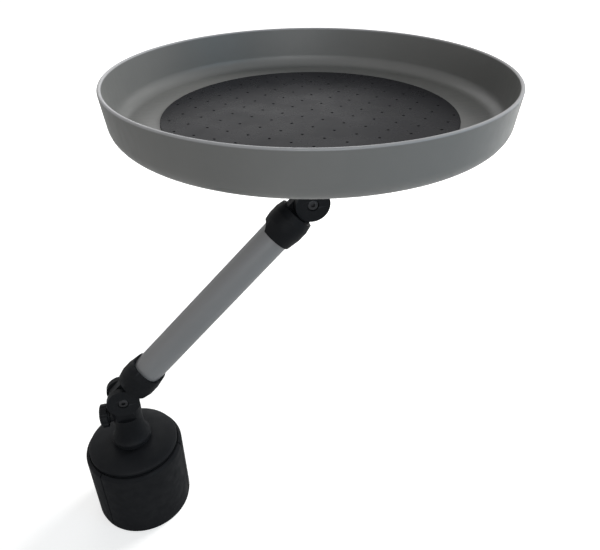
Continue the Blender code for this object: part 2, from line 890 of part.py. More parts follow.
def make_sleeve(name, parts, cutters, frame, finish):
    """Sleeve along the frame's +X, from the tongue at the hinge to the mouth that holds the tube."""
    along = empty(name + "_along", cutters, rotation=(0, math.pi / 2, 0), parent=frame)
    sleeve = turned(name, sleeve_profile(), round_steps, parts, along, finish)
    side = empty(name + "_side", cutters, rotation=(math.pi / 2, 0, 0), parent=frame)
    end = [
        (tongue_radius * math.cos(angle), tongue_radius * math.sin(angle))
        for angle in arc_steps(math.pi / 2, 1.5 * math.pi, 4 * fillet_steps)
    ]
    outline = end + [(sleeve_start + overrun, -tongue_radius), (sleeve_start + overrun, tongue_radius)]
    tongue = extruded(name + "_tongue", outline, -tongue_half_thickness, tongue_half_thickness,
                      cutters, side)
    join(sleeve, tongue)
    hole = rod(name + "_hinge_hole", bolt_radius + clearance, -fork_half_width, fork_half_width, "Y",
               cutters, frame)
    bore = rod(name + "_bore", tube_radius + clearance, sleeve_belly_start, sleeve_length + overrun, "X",
               cutters, frame, steps=round_steps)
    across = empty(name + "_across", cutters, rotation=(math.radians(scallop_turn_deg), 0, 0), parent=frame)
    scallop = rod(name + "_scallop", scallop_radius, -sleeve_belly_radius, sleeve_belly_radius, "Y",
                  cutters, across, steps=round_steps,
                  centre=(scallop_centre, scallop_axis_gap + scallop_radius))
    cut(sleeve, hole, bore, scallop)
    seat = sleeve_screw_seat(name + "_screw_seat", cutters, frame)
    cut(sleeve, screw_hole(name + "_screw_hole", sleeve_screw_length, cutters, seat))
    return sleeve


def sleeve_screw_seat(name, collection, frame):
    """Frame at the sleeve screw's head, on the underside of the sleeve."""
    return empty(name, collection, (sleeve_belly_end, 0, -sleeve_belly_radius), (math.pi, 0, 0), frame)


def make_tube(parts, cutters, frame, far_frame, finish):
    low = sleeve_belly_start + clearance
    high = arm_length - low
    inner = tube_radius - tube_wall
    along = empty("tube_along", cutters, rotation=(0, math.pi / 2, 0), parent=frame)
    profile = [(tube_radius, high), (tube_radius, low), (inner, low), (inner, high)]
    tube = turned("arm_tube", profile, round_steps, parts, along, finish, ring=True)
    for name, end in (("tube_base_hole", frame), ("tube_tray_hole", far_frame)):
        seat = sleeve_screw_seat(name + "_seat", cutters, end)
        cut(tube, screw_hole(name, sleeve_screw_length, cutters, seat))
    return tube


def make_arm(parts, cutters, frame, far_frame, looks):
    for end, here in (("base", frame), ("tray", far_frame)):
        make_sleeve(end + "_sleeve", parts, cutters, here, looks["joint"])
        seat = sleeve_screw_seat(end + "_sleeve_screw_seat", parts, here)
        countersunk_screw(end + "_sleeve_screw", sleeve_screw_length, parts, seat, looks["steel"])
    make_tube(parts, cutters, frame, far_frame, looks["tube"])


# Tray


def flange_screw_seat(index, collection, centre):
    angle = around(flange_screw_count, index + 0.5)
    spot = (flange_screw_circle * math.cos(angle), flange_screw_circle * math.sin(angle), tray_floor_top)
    return empty("flange_screw_seat", collection, spot, parent=centre)


def make_flange(parts, cutters, frame, centre, finish):
    """Flange under the tray with the spigot that the upper post turns on, drawn like the insert's."""
    back = -flange_drop
    front = back + flange_thickness
    profile = spigot_profile(0) + rounded([
        (post_foot_radius, -shoulder_drop),
        (post_foot_radius, front, 2 * flange_thickness / 3),
        (flange_radius, front, flange_edge_round),
        (flange_radius, back),
        (0, back),
        (0, -shoulder_drop),
    ])[:-1]
    flange = turned("tray_flange", profile, flange_steps, parts, frame, finish)
    for index in range(flange_screw_count):
        angle = around(flange_screw_count, index + 0.5)
        spot = (flange_screw_circle * math.cos(angle), flange_screw_circle * math.sin(angle))
        boss = rod("flange_boss_%d" % (index + 1), flange_boss_radius, back + clearance,
                   front + flange_boss_height, "Z", cutters, frame, centre=spot)
        join(flange, boss)
    for index in range(flange_screw_count):
        seat = flange_screw_seat(index, cutters, centre)
        cut(flange, screw_hole("flange_hole_%d" % (index + 1), flange_screw_length, cutters, seat))
    return flange


def pan_profile():
    fine = 2 * fillet_steps
    return rounded([
        (0, tray_floor_top),
        (tray_floor_radius, tray_floor_top, tray_inner_corner_radius, fine),
        (tray_rim_radius - tray_wall_across, tray_rim_height, tray_rim_round),
        (tray_rim_radius, tray_rim_height, tray_rim_round),
        (tray_foot_radius, tray_underside, tray_corner_radius, fine),
        (0, tray_underside),
    ])


def make_pan(parts, cutters, centre, finish):
    pan = turned("tray_pan", pan_profile(), tray_steps, parts, centre, finish)
    for index in range(flange_screw_count):
        seat = flange_screw_seat(index, cutters, centre)
        cut(pan, screw_hole("pan_hole_%d" % (index + 1), flange_screw_length, cutters, seat))
    return pan


def make_flange_screws(parts, centre, finish):
    for index in range(flange_screw_count):
        seat = flange_screw_seat(index, parts, centre)
        countersunk_screw("tray_screw_%d" % (index + 1), flange_screw_length, parts, seat, finish)


def make_mat(parts, centre, finish):
    low = tray_floor_top + clearance
    high = low + mat_thickness
    profile = rounded([(0, high), (mat_radius, high, mat_edge_round), (mat_radius, low), (0, low)])
    return turned("non_slip_mat", profile, tray_steps, parts, centre, finish)


def build():
    clear_scene()
    parts = new_collection("car_seat_food_tray")
    cutters = new_collection("cutters")
    looks = {
        "insert": material("insert_plastic", (0.012, 0.013, 0.015), 0.5),
        "pad": material("pad_rubber", (0.010, 0.011, 0.013), 0.75),
        "rubber": material("washer_rubber", (0.02, 0.02, 0.02), 0.8),
        "joint": material("joint_plastic", (0.013, 0.014, 0.016), 0.45),
        "steel": material("fastener_steel", (0.12, 0.12, 0.125), 0.4, 1.0),
        "tube": material("tube_paint", (0.15, 0.15, 0.16), 0.4, 0.3),
        "tray": material("tray_plastic", (0.16, 0.165, 0.17), 0.4),
        "mat": material("mat_rubber", (0.05, 0.05, 0.057), 0.7),
    }
    make_core(parts, cutters, looks["insert"])
    make_floor_plate(parts, cutters, looks["insert"])
    make_floor_screws(parts, cutters, looks["steel"])
    make_jaws(parts, cutters, looks["insert"], looks["pad"])
    make_dial(parts, cutters, looks["insert"])

    base_hinge = empty("base_hinge", parts, (0, 0, hinge_height))
    tray_hinge = empty("tray_hinge", parts, (arm_reach, 0, tray_hinge_height), (0, math.pi, 0))
    make_swivel_washer("base_swivel_washer", parts, base_hinge, looks["rubber"])
    make_post_set("base", parts, cutters, base_hinge, looks)
    make_swivel_washer("tray_swivel_washer", parts, tray_hinge, looks["rubber"])
    make_post_set("tray", parts, cutters, tray_hinge, looks)

    arm = empty("arm_axis", parts, (0, 0, hinge_height), (0, -arm_angle, 0))
    far_turn = (math.pi, math.pi - arm_angle, 0)
    arm_far = empty("arm_far_axis", parts, (arm_reach, 0, tray_hinge_height), far_turn)
    make_arm(parts, cutters, arm, arm_far, looks)

    tray_centre = empty("tray_centre", parts, (arm_reach, 0, 0))
    make_flange(parts, cutters, tray_hinge, tray_centre, looks["joint"])
    make_pan(parts, cutters, tray_centre, looks["tray"])
    make_flange_screws(parts, tray_centre, looks["steel"])
    make_mat(parts, tray_centre, looks["mat"])

    for thing in parts.objects:
        if thing.type == "MESH":
            shade_round(thing.data)


build()
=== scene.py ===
import json
import math

import bpy
from mathutils import Matrix, Vector


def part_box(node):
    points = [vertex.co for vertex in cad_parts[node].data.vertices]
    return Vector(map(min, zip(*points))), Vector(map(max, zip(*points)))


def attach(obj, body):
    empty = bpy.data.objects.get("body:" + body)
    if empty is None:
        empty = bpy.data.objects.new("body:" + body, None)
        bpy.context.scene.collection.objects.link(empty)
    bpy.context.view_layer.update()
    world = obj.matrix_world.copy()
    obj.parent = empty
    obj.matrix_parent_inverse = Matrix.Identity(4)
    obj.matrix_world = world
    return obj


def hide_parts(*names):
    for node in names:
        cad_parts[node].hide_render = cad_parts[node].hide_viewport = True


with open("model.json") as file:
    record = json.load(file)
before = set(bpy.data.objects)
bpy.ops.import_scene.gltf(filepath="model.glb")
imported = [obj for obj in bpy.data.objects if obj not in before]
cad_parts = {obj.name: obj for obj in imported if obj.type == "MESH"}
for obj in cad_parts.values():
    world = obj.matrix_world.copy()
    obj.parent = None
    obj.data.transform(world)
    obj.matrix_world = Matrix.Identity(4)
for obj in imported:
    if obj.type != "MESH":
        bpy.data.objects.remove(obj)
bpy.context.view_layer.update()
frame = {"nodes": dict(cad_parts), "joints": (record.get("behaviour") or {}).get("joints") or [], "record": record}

print("frame loaded,", len(frame["nodes"]), "nodes")

# Places that everything below is built around, read from the frame

jointNamed = {joint["name"]: joint for joint in frame["joints"]}
baseHinge = Vector(jointNamed["arm_tilt"]["pos_m"])
trayHinge = Vector(jointNamed["tray_tilt"]["pos_m"])
armLine = trayHinge - baseHinge
armAngle = math.atan2(armLine.z, armLine.x)
trayCentre = Vector((trayHinge.x, trayHinge.y, 0))

alongX = Matrix.Rotation(math.pi / 2, 4, "Y")       # lays a piece turned about Z along +X
slope = Matrix.Rotation(-armAngle, 4, "Y")
baseKit = Matrix.Translation(baseHinge)             # hinge frame, post below it
trayKit = Matrix.Translation(trayHinge) @ Matrix.Rotation(math.pi, 4, "Y")
baseArm = Matrix.Translation(baseHinge) @ slope     # +X runs along the arm from its hinge
trayArm = Matrix.Translation(trayHinge) @ slope @ Matrix.Rotation(math.pi, 4, "Z")

fit = {
    "gap": 0.0003,          # room between neighbouring pieces
    "over": 0.002,          # how far a cutter stands out of what it cuts
    "pole": 0.001,          # radius of the flat face that closes a turned piece on its axis
    "edge": 0.0003,         # usual softening of a moulded edge
    "edgeSteps": 2,
    "edgeDeg": 40,          # an edge that turns by more than this is softened
    "flatDeg": 0.5,         # faces that turn by less than this become one
    "smoothDeg": 32,
    "merge": 0.000002,      # points closer than this become one
    "sides": 48,            # facets of a small round
    "fineSides": 96,        # facets of a larger one
}


# Modelling helpers

def pickOnly(*things):
    bpy.ops.object.select_all(action="DESELECT")
    for thing in things:
        thing.select_set(True)
    bpy.context.view_layer.objects.active = things[0]


def inEditMode(piece):
    pickOnly(piece)
    bpy.ops.object.mode_set(mode="EDIT")
    bpy.ops.mesh.select_all(action="SELECT")


def applyStep(piece, step):
    pickOnly(piece)
    bpy.ops.object.modifier_apply(modifier=step.name)


def settle(piece, place=None):
    # puts the piece where it belongs and writes that place into its mesh
    if place is not None:
        piece.matrix_world = place @ piece.matrix_world
    pickOnly(piece)
    bpy.ops.object.transform_apply(location=True, rotation=True, scale=True)
    return piece


def rename(piece, name):
    piece.name = name
    piece.data.name = name
    return piece


def onCircle(radius, angle):
    return radius * math.cos(angle), radius * math.sin(angle)


def arcPoints(centre, across, up, start, end, steps):
    # part of an ellipse with the half axes across and up, from start to end in degrees
    points = []
    for step in range(steps + 1):
        angle = math.radians(start + (end - start) * step / steps)
        points.append((centre[0] + across * math.cos(angle), centre[1] + up * math.sin(angle)))
    return points


def softCorners(corners, steps):
    # corners are (radius, height) or (radius, height, rounding) in order along the outline,
    # and the last one counts as the neighbour of the first
    points = []
    for index, corner in enumerate(corners):
        rounding = corner[2] if len(corner) > 2 else 0
        here = Vector(corner[:2])
        if not rounding:
            points.append(tuple(here))
            continue
        before = (Vector(corners[index - 1][:2]) - here).normalized()
        after = (Vector(corners[(index + 1) % len(corners)][:2]) - here).normalized()
        half = before.angle(after) / 2
        middle = here + (before + after).normalized() * rounding / math.sin(half)
        first = here + before * rounding / math.tan(half) - middle
        last = here + after * rounding / math.tan(half) - middle
        sweep = first.angle_signed(last)
        for step in range(steps + 1):
            turn = Matrix.Rotation(-sweep * step / steps, 2)
            points.append(tuple(middle + turn @ first))
    return points


def turnSolid(name, rings, sides, hollow=False):
    # rings are (radius, height) from one end to the other, or round a closed section if hollow
    bpy.ops.object.select_all(action="DESELECT")
    radius, height = rings[0]
    bpy.ops.mesh.primitive_circle_add(
        vertices=sides, radius=radius, location=(0, 0, height),
        fill_type="NOTHING" if hollow else "NGON",
    )
    piece = bpy.context.object
    inEditMode(piece)
    for nextRadius, nextHeight in rings[1:] + (rings[:1] if hollow else []):
        rise = (0, 0, nextHeight - height)
        bpy.ops.mesh.extrude_region_move(TRANSFORM_OT_translate={"value": rise})
        grow = nextRadius / radius
        bpy.ops.transform.resize(value=(grow, grow, 1), center_override=(0, 0, nextHeight))
        radius, height = nextRadius, nextHeight
    bpy.ops.mesh.select_all(action="SELECT")
    bpy.ops.mesh.remove_doubles(threshold=fit["merge"])
    bpy.ops.mesh.normals_make_consistent(inside=False)
    bpy.ops.object.mode_set(mode="OBJECT")
    settle(piece)
    return rename(piece, name)


def roundBar(radius, low, high, axis="Z", at=(0, 0), sides=fit["sides"], endRadius=None):
    # bar or cone along X, Y or Z; at is its place across that axis
    turn = {"X": (0, math.pi / 2, 0), "Y": (-math.pi / 2, 0, 0), "Z": (0, 0, 0)}[axis]
    middle = (low + high) / 2
    spot = {"X": (middle, *at), "Y": (at[0], middle, at[1]), "Z": (*at, middle)}[axis]
    bpy.ops.object.select_all(action="DESELECT")
    bpy.ops.mesh.primitive_cone_add(
        vertices=sides, radius1=radius, radius2=radius if endRadius is None else endRadius,
        depth=high - low, location=spot, rotation=turn,
    )
    return settle(bpy.context.object)


def hexBar(halfFlats, low, high, axis="Z"):
    return roundBar(halfFlats / math.cos(math.pi / 6), low, high, axis, sides=6)


def slab(low, high):
    middle = [(a + b) / 2 for a, b in zip(low, high)]
    bpy.ops.object.select_all(action="DESELECT")
    bpy.ops.mesh.primitive_cube_add(size=1, location=middle)
    bpy.context.object.scale = [b - a for a, b in zip(low, high)]
    return settle(bpy.context.object)


def shapeWith(piece, *tools, way="DIFFERENCE"):
    for tool in tools:
        step = piece.modifiers.new("shape", "BOOLEAN")
        step.operation = way
        step.solver = "EXACT"
        step.object = tool
        applyStep(piece, step)
        bpy.data.objects.remove(tool)


def softenEdges(piece, width):
    inEditMode(piece)
    bpy.ops.mesh.remove_doubles(threshold=fit["merge"] * 2)
    bpy.ops.mesh.dissolve_limited(angle_limit=math.radians(fit["flatDeg"]))
    bpy.ops.object.mode_set(mode="OBJECT")
    step = piece.modifiers.new("soft edges", "BEVEL")
    step.width = width
    step.segments = fit["edgeSteps"]
    step.limit_method = "ANGLE"
    step.angle_limit = math.radians(fit["edgeDeg"])
    step.use_clamp_overlap = True
    applyStep(piece, step)


def smoothFaces(piece):
    pickOnly(piece)
    bpy.ops.object.shade_smooth_by_angle(angle=math.radians(fit["smoothDeg"]))
    step = piece.modifiers.new("even normals", "WEIGHTED_NORMAL")
    step.keep_sharp = True
    applyStep(piece, step)
    return piece


def copyOf(piece, name, place=None):
    pickOnly(piece)
    bpy.ops.object.duplicate()
    return settle(rename(bpy.context.object, name), place)


bodies = frame["record"]["behaviour"]["bodies"]
bodyOfNode = {node: body for body, nodes in bodies.items() for node in nodes}


def finishPiece(piece, node, look, place=None):
    # a finished piece stands for its node and rides on the node's body
    if place is not None:
        settle(piece, place)
    piece.data.materials.clear()
    piece.data.materials.append(look)
    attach(piece, bodyOfNode[node])
    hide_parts(node)


# Materials

noiseSpan = (0.3, 0.7)      # where most values of a noise lie


def startLook(name):
    look = bpy.data.materials.new(name)
    look.use_nodes = True
    tree = look.node_tree
    return look, tree, tree.nodes.new("ShaderNodeTexCoord").outputs["Object"]


def mappedPlace(tree, place, change, amount):
    mapping = tree.nodes.new("ShaderNodeMapping")
    mapping.inputs[change].default_value = amount
    tree.links.new(place, mapping.inputs["Vector"])
    return mapping.outputs["Vector"]


def noiseNode(tree, place, scale, detail=3, roughness=0.5, stretch=None):
    if stretch:
        place = mappedPlace(tree, place, "Scale", stretch)
    noise = tree.nodes.new("ShaderNodeTexNoise")
    noise.inputs["Scale"].default_value = scale
    noise.inputs["Detail"].default_value = detail
    noise.inputs["Roughness"].default_value = roughness
    tree.links.new(place, noise.inputs["Vector"])
    return noise.outputs["Fac"]


def rangeNode(tree, value, low, high, span=noiseSpan):
    # low where the value is at the start of the span, high at its end
    spread = tree.nodes.new("ShaderNodeMapRange")
    spread.inputs["From Min"].default_value = span[0]
    spread.inputs["From Max"].default_value = span[1]
    spread.inputs["To Min"].default_value = low
    spread.inputs["To Max"].default_value = high
    tree.links.new(value, spread.inputs["Value"])
    return spread.outputs["Result"]


def mathNode(tree, operation, first, second):
    node = tree.nodes.new("ShaderNodeMath")
    node.operation = operation
    tree.links.new(first, node.inputs[0])
    tree.links.new(second, node.inputs[1])
    return node.outputs[0]


def blendColours(tree, factor, first, second):
    # first and second are colours, or sockets that carry one
    mix = tree.nodes.new("ShaderNodeMix")
    mix.data_type = "RGBA"
    tree.links.new(factor, mix.inputs["Factor"])
    for socket, colour in ((mix.inputs[6], first), (mix.inputs[7], second)):
        if isinstance(colour, bpy.types.NodeSocket):
            tree.links.new(colour, socket)
        else:
            socket.default_value = (*colour, 1)
    return mix.outputs[2]


def cloudedColour(tree, place, values):
    clouds = rangeNode(tree, noiseNode(tree, place, **values["clouds"]), 0, 1)
    return blendColours(tree, clouds, values["colour"], values["cloud"])


def paintedEdgeHighlight(tree, base, values):
    # painted highlight: paler where a mesh turns a sharp outer edge
    shape = tree.nodes.new("ShaderNodeNewGeometry").outputs["Pointiness"]
    share = rangeNode(tree, shape, 0, 1, values["edgeSpan"])
    return blendColours(tree, share, base, values["edge"])


def marksOver(tree, place, base, marks):
    pattern = noiseNode(tree, place, **marks["pattern"])
    share = rangeNode(tree, pattern, 0, marks["share"], marks["span"])
    return blendColours(tree, share, base, marks["colour"])


def finishSurface(tree, place, base, values):
    # colour, patchy roughness and a fine grain, which all the finishes have
    shader = tree.nodes["Principled BSDF"]
    tree.links.new(base, shader.inputs["Base Color"])
    patches = rangeNode(tree, noiseNode(tree, place, **values["patches"]), *values["roughness"])
    tree.links.new(patches, shader.inputs["Roughness"])
    shader.inputs["Specular IOR Level"].default_value = values["specular"]
    shader.inputs["Metallic"].default_value = values["metallic"]
    bump = tree.nodes.new("ShaderNodeBump")
    bump.inputs["Distance"].default_value = values["grainHeight"]
    bump.inputs["Strength"].default_value = values["grainStrength"]
    tree.links.new(noiseNode(tree, place, **values["grain"]), bump.inputs["Height"])
    tree.links.new(bump.outputs["Normal"], shader.inputs["Normal"])


trayLook = {
    "colour": (0.148, 0.1495, 0.146),
    "cloud": (0.165, 0.165, 0.160),
    "clouds": {"scale": 22, "detail": 4, "roughness": 0.6},
    # painted highlight colour on sharp outer edges
    "edge": (0.20, 0.205, 0.21),
    "edgeSpan": (0.52, 0.60),
    "paintedRimHighlight": (0.36, 0.36, 0.37),        # painted highlight along the top of the rim
    "paintedRimHighlightDeep": (0.0011, 0.0004),      # below the rim, where the painted highlight starts and where it is full
    "roughness": (0.33, 0.45),
    "patches": {"scale": 90, "detail": 6, "roughness": 0.7, "stretch": (1, 3, 1)},
    "specular": 0.5,
    "metallic": 0,
    "grain": {"scale": 1700, "detail": 2},
    "grainHeight": 0.000010,
    "grainStrength": 0.5,
}


def trayPlastic():
    look, tree, place = startLook("trayPlastic")
    base = paintedEdgeHighlight(tree, cloudedColour(tree, place, trayLook), trayLook)
    # painted highlight: the top of the rim is blended towards a pale colour by height alone
    split = tree.nodes.new("ShaderNodeSeparateXYZ")
    tree.links.new(place, split.inputs[0])
    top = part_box("tray_pan")[1].z
    span = [top - deep for deep in trayLook["paintedRimHighlightDeep"]]
    share = rangeNode(tree, split.outputs["Z"], 0, 1, span)
    base = blendColours(tree, share, base, trayLook["paintedRimHighlight"])
    finishSurface(tree, place, base, trayLook)
    return look


mouldedLook = {
    "colour": (0.0056, 0.0062, 0.0074),
    "cloud": (0.0080, 0.0088, 0.0102),
    "clouds": {"scale": 70, "detail": 5, "roughness": 0.65},
    "edge": (0.020, 0.0215, 0.024),
    "edgeSpan": (0.53, 0.62),
    "roughness": (0.44, 0.60),
    "patches": {"scale": 160, "detail": 4},
    "specular": 0.105,
    "metallic": 0,
    "grain": {"scale": 1500, "detail": 3, "roughness": 0.6},
    "grainHeight": 0.000030,
    "grainStrength": 0.6,
}

padLook = {
    **mouldedLook,
    "colour": (0.0058, 0.0063, 0.0076),
    "cloud": (0.0071, 0.0077, 0.0091),
    "edge": (0.017, 0.018, 0.020),
    "roughness": (0.58, 0.76),
    "specular": 0.12,
    "grain": {"scale": 1100, "detail": 3, "roughness": 0.6},
    "grainHeight": 0.000045,
}


def mouldedPlastic(name, values):
    look, tree, place = startLook(name)
    finishSurface(tree, place, paintedEdgeHighlight(tree, cloudedColour(tree, place, values), values), values)
    return look


matLook = {
    "colour": (0.0105, 0.0107, 0.0132),
    "cloud": (0.0150, 0.0150, 0.0180),
    "clouds": {"scale": 16, "detail": 4, "roughness": 0.6},
    # painted sheen: lighter diagonal streaks standing for reflections on the mat
    "paintedSheenStreaks": {
        "colour": (0.0215, 0.0215, 0.0245),
        "pattern": {"scale": 9, "detail": 3, "roughness": 0.5, "stretch": (1.6, 0.5, 1)},
        "share": 0.55,
        "span": (0.5, 0.75),
    },
    "roughness": (0.22, 0.33),
    "patches": {"scale": 45, "detail": 5, "roughness": 0.65},
    "specular": 0.026,
    "metallic": 0,
    "grain": {"scale": 2100, "detail": 2},
    "grainHeight": 0.000016,
    "grainStrength": 0.6,
}


def matRubber():
    look, tree, place = startLook("matRubber")
    # the mat's colour carries painted sheen streaks over its clouds
    base = marksOver(tree, place, cloudedColour(tree, place, matLook), matLook["paintedSheenStreaks"])
    finishSurface(tree, place, base, matLook)
    return look


tubeLook = {
    "colour": (0.197, 0.199, 0.204),
    "cloud": (0.218, 0.219, 0.224),
    "clouds": {"scale": 60, "detail": 4, "stretch": (0.15, 1, 1)},
    "scuffs": {
        "colour": (0.26, 0.26, 0.265),
        "pattern": {"scale": 900, "detail": 3, "roughness": 0.7, "stretch": (0.03, 1, 1)},
        "share": 0.5,
        "span": (0.66, 0.8),
    },
    "roughness": (0.32, 0.46),
    "patches": {"scale": 300, "detail": 4, "stretch": (0.1, 1, 1)},
    "specular": 0.5,
    "metallic": 0.15,
    "grain": {"scale": 1400, "detail": 2},
    "grainHeight": 0.000008,
    "grainStrength": 0.5,
}


def tubeCoating():
    look, tree, place = startLook("tubeCoating")
    along = mappedPlace(tree, place, "Rotation", (0, armAngle, 0))      # x then runs along the tube
    base = marksOver(tree, along, cloudedColour(tree, along, tubeLook), tubeLook["scuffs"])
    finishSurface(tree, along, base, tubeLook)
    return look


steelLook = {
    "colour": (0.055, 0.056, 0.060),
    "cloud": (0.036, 0.036, 0.038),
    "clouds": {"scale": 420, "detail": 4},
    "roughness": (0.30, 0.46),
    "patches": {"scale": 1800, "detail": 3},
    "specular": 0.5,
    "metallic": 1.0,
    "grain": {"scale": 1800, "detail": 3},
    "grainHeight": 0.000006,
    "grainStrength": 0.4,
}


def darkSteel():
    look, tree, place = startLook("darkSteel")
    finishSurface(tree, place, cloudedColour(tree, place, steelLook), steelLook)
    return look


looks = {
    "tray": trayPlastic(),
    "joint": mouldedPlastic("jointPlastic", mouldedLook),
    "insert": mouldedPlastic("insertPlastic", mouldedLook),
    "pad": mouldedPlastic("padRubber", padLook),
    "washer": mouldedPlastic("washerRubber", padLook),
    "mat": matRubber(),
    "tube": tubeCoating(),
    "steel": darkSteel(),
}
print("materials made")


# Countersunk screws

screw = {
    "shank": 0.0014,
    "head": 0.0027,
    "headDeep": 0.0014,
    "headEdge": 0.0001,
    "sink": 0.0002,
    "slotLong": 0.0019,
    "slotWide": 0.00045,
    "slotDeep": 0.0009,
    "threadDeep": 0.00018,
    "threadPitch": 0.0009,
    "tipShare": 0.25,           # of the shank's radius
    "sides": 32,
}


def countersunkScrew(name, length, place):
    # head just under z = 0, shank down, a cross cut in the head and ridges round the shank
    top = -screw["sink"]
    ridge = screw["threadPitch"] / 2
    rings = [
        (screw["head"] - screw["headEdge"], top),
        (screw["head"], top - screw["headEdge"]),
        (screw["shank"], top - screw["headDeep"]),
    ]
    height = top - screw["headDeep"] - ridge
    while height > screw["shank"] - length:
        rings.append((screw["shank"], height))
        rings.append((screw["shank"] - screw["threadDeep"], height - ridge))
        height -= screw["threadPitch"]
    rings.append((screw["shank"] * screw["tipShare"], -length))
    piece = turnSolid(name, rings, screw["sides"])
    long, wide, low = screw["slotLong"], screw["slotWide"] / 2, top - screw["slotDeep"]
    first = slab((-long, -wide, low), (long, wide, fit["over"]))
    second = slab((-wide, -long, low), (wide, long, fit["over"]))
    shapeWith(piece, first, second)
    return settle(smoothFaces(piece), place)


def screwRoom(length, place):
    # what a countersunk screw needs cut out of the pieces it goes through
    wide = screw["head"] + fit["gap"]
    thin = screw["shank"] + fit["gap"]
    top = -screw["sink"]
    neck = top - screw["headDeep"]
    rings = [(wide, fit["over"]), (wide, top), (thin, neck), (thin, -length - fit["gap"])]
    return settle(turnSolid("screwRoom", rings, screw["sides"]), place)


# Tray pan, mat and flange

tray = {
    "rim": 0.11495,
    "deep": 0.0270,
    "leanDeg": 6.6,
    "wall": 0.0022,
    "floor": 0.0022,
    "footRound": 0.0102,
    "innerRound": 0.008,
    "rimRound": 0.00098,
    "hubSpan": 0.034,           # ring that keeps the facets of the screw holes inside it
    "sides": 288,
}
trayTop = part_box("tray_pan")[0].z + tray["deep"]
trayFloorTop = trayTop - tray["deep"] + tray["floor"]
flangeScrews = {"circle": 0.022, "count": 4, "length": 0.008}


def flangeScrewSpots():
    spots = []
    for index in range(flangeScrews["count"]):
        angle = math.tau * (index + 0.5) / flangeScrews["count"]
        spots.append(Vector((*onCircle(flangeScrews["circle"], angle), 0)))
    return spots


def flangeScrewPlaces():
    middle = trayCentre + Vector((0, 0, trayFloorTop))
    return [Matrix.Translation(middle + spot) for spot in flangeScrewSpots()]


def flangeScrewRooms():
    return [screwRoom(flangeScrews["length"], place) for place in flangeScrewPlaces()]


def makePan():
    lean = math.tan(math.radians(tray["leanDeg"]))
    across = tray["wall"] / math.cos(math.radians(tray["leanDeg"]))
    low = trayTop - tray["deep"]
    foot = tray["rim"] - tray["deep"] * lean
    inner = tray["rim"] - (tray["deep"] - tray["floor"]) * lean - across
    rings = softCorners([
        (fit["pole"], trayFloorTop),
        (tray["hubSpan"], trayFloorTop),
        (inner, trayFloorTop, tray["innerRound"]),
        (tray["rim"] - across, trayTop, tray["rimRound"]),
        (tray["rim"], trayTop, tray["rimRound"]),
        (foot, low, tray["footRound"]),
        (tray["hubSpan"], low),
        (fit["pole"], low),
    ], steps=10)
    pan = turnSolid("trayPan", rings, tray["sides"])
    settle(pan, Matrix.Translation(trayCentre))
    shapeWith(pan, *flangeScrewRooms())
    finishPiece(smoothFaces(pan), "tray_pan", looks["tray"])


mat = {
    "radius": 0.08528,
    "footRound": 0.0002,
    "edgeRound": 0.0004,
    "edgeMargin": 0.003,
    "dotPitch": 0.01285,
    "dotTurnDeg": 48.5,
    "dotShift": (0.00428, 0.00057),
    "dotRadius": 0.00085,           # at the mat's face
    "dotLowShare": 0.55,            # of that radius, at the bottom
    "dotHighShare": 1.45,           # and as far above the face as the bottom is below it
    "dotDeep": 0.0006,
    "dotSides": 12,
    "sides": 192,
}


def dotSpots():
    turn = Matrix.Rotation(math.radians(mat["dotTurnDeg"]), 2)
    reach = round(mat["radius"] / mat["dotPitch"]) + 1
    spots = []
    for row in range(-reach, reach + 1):
        for column in range(-reach, reach + 1):
            spot = turn @ (Vector((column, row)) * mat["dotPitch"] + Vector(mat["dotShift"]))
            if spot.length <= mat["radius"] - mat["edgeMargin"]:
                spots.append((trayCentre.x + spot.x, trayCentre.y + spot.y))
    return spots


def makeMat():
    low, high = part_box("non_slip_mat")
    rings = softCorners([
        (fit["pole"], low.z),
        (mat["radius"], low.z, mat["footRound"]),
        (mat["radius"], high.z, mat["edgeRound"]),
        (fit["pole"], high.z),
    ], steps=4)
    piece = turnSolid("nonSlipMat", rings, mat["sides"])
    settle(piece, Matrix.Translation(trayCentre))
    start, end = mat["dotRadius"] * mat["dotLowShare"], mat["dotRadius"] * mat["dotHighShare"]
    bottom, top = high.z - mat["dotDeep"], high.z + mat["dotDeep"]
    dots = []
    for at in dotSpots():
        dots.append(roundBar(start, bottom, top, at=at, sides=mat["dotSides"], endRadius=end))
    print("  mat dots:", len(dots))
    pickOnly(*dots)
    bpy.ops.object.join()
    shapeWith(piece, bpy.context.object)
    finishPiece(smoothFaces(piece), "non_slip_mat", looks["mat"])


# heights on the spigot count down from the hinge above it
spigot = {
    "radius": 0.0065,
    "shoulder": 0.0105,
    "tip": 0.012,
    "tipRound": 0.0008,
    "grooveTop": 0.0131,
    "grooveWide": 0.0048,
    "grooveDeep": 0.0012,
    "grooveRound": 0.00015,
    "shoulderDrop": 0.0415,
}


def spigotRings():
    wide, thin = spigot["radius"], spigot["radius"] - spigot["grooveDeep"]
    high = -spigot["grooveTop"]
    low = high - spigot["grooveWide"]
    small = spigot["grooveRound"]
    return softCorners([
        (fit["pole"], -spigot["tip"]), (wide, -spigot["tip"], spigot["tipRound"]),
        (wide, high, small), (thin, high, small),
        (thin, low, small), (wide, low, small),
        (wide, -spigot["shoulderDrop"]),
    ], steps=3)


flange = {
    "radius": 0.032,
    "thick": 0.003,
    "neck": 0.008,
    "neckRadius": 0.014,
    "neckRound": 0.002,
    "edgeRound": 0.0008,
    "bossRadius": 0.0036,
    "bossSpread": 0.0004,       # how much wider a boss is at its foot
    "bossHigh": 0.0045,
    "bossRound": 0.0006,
    "sides": 128,
}


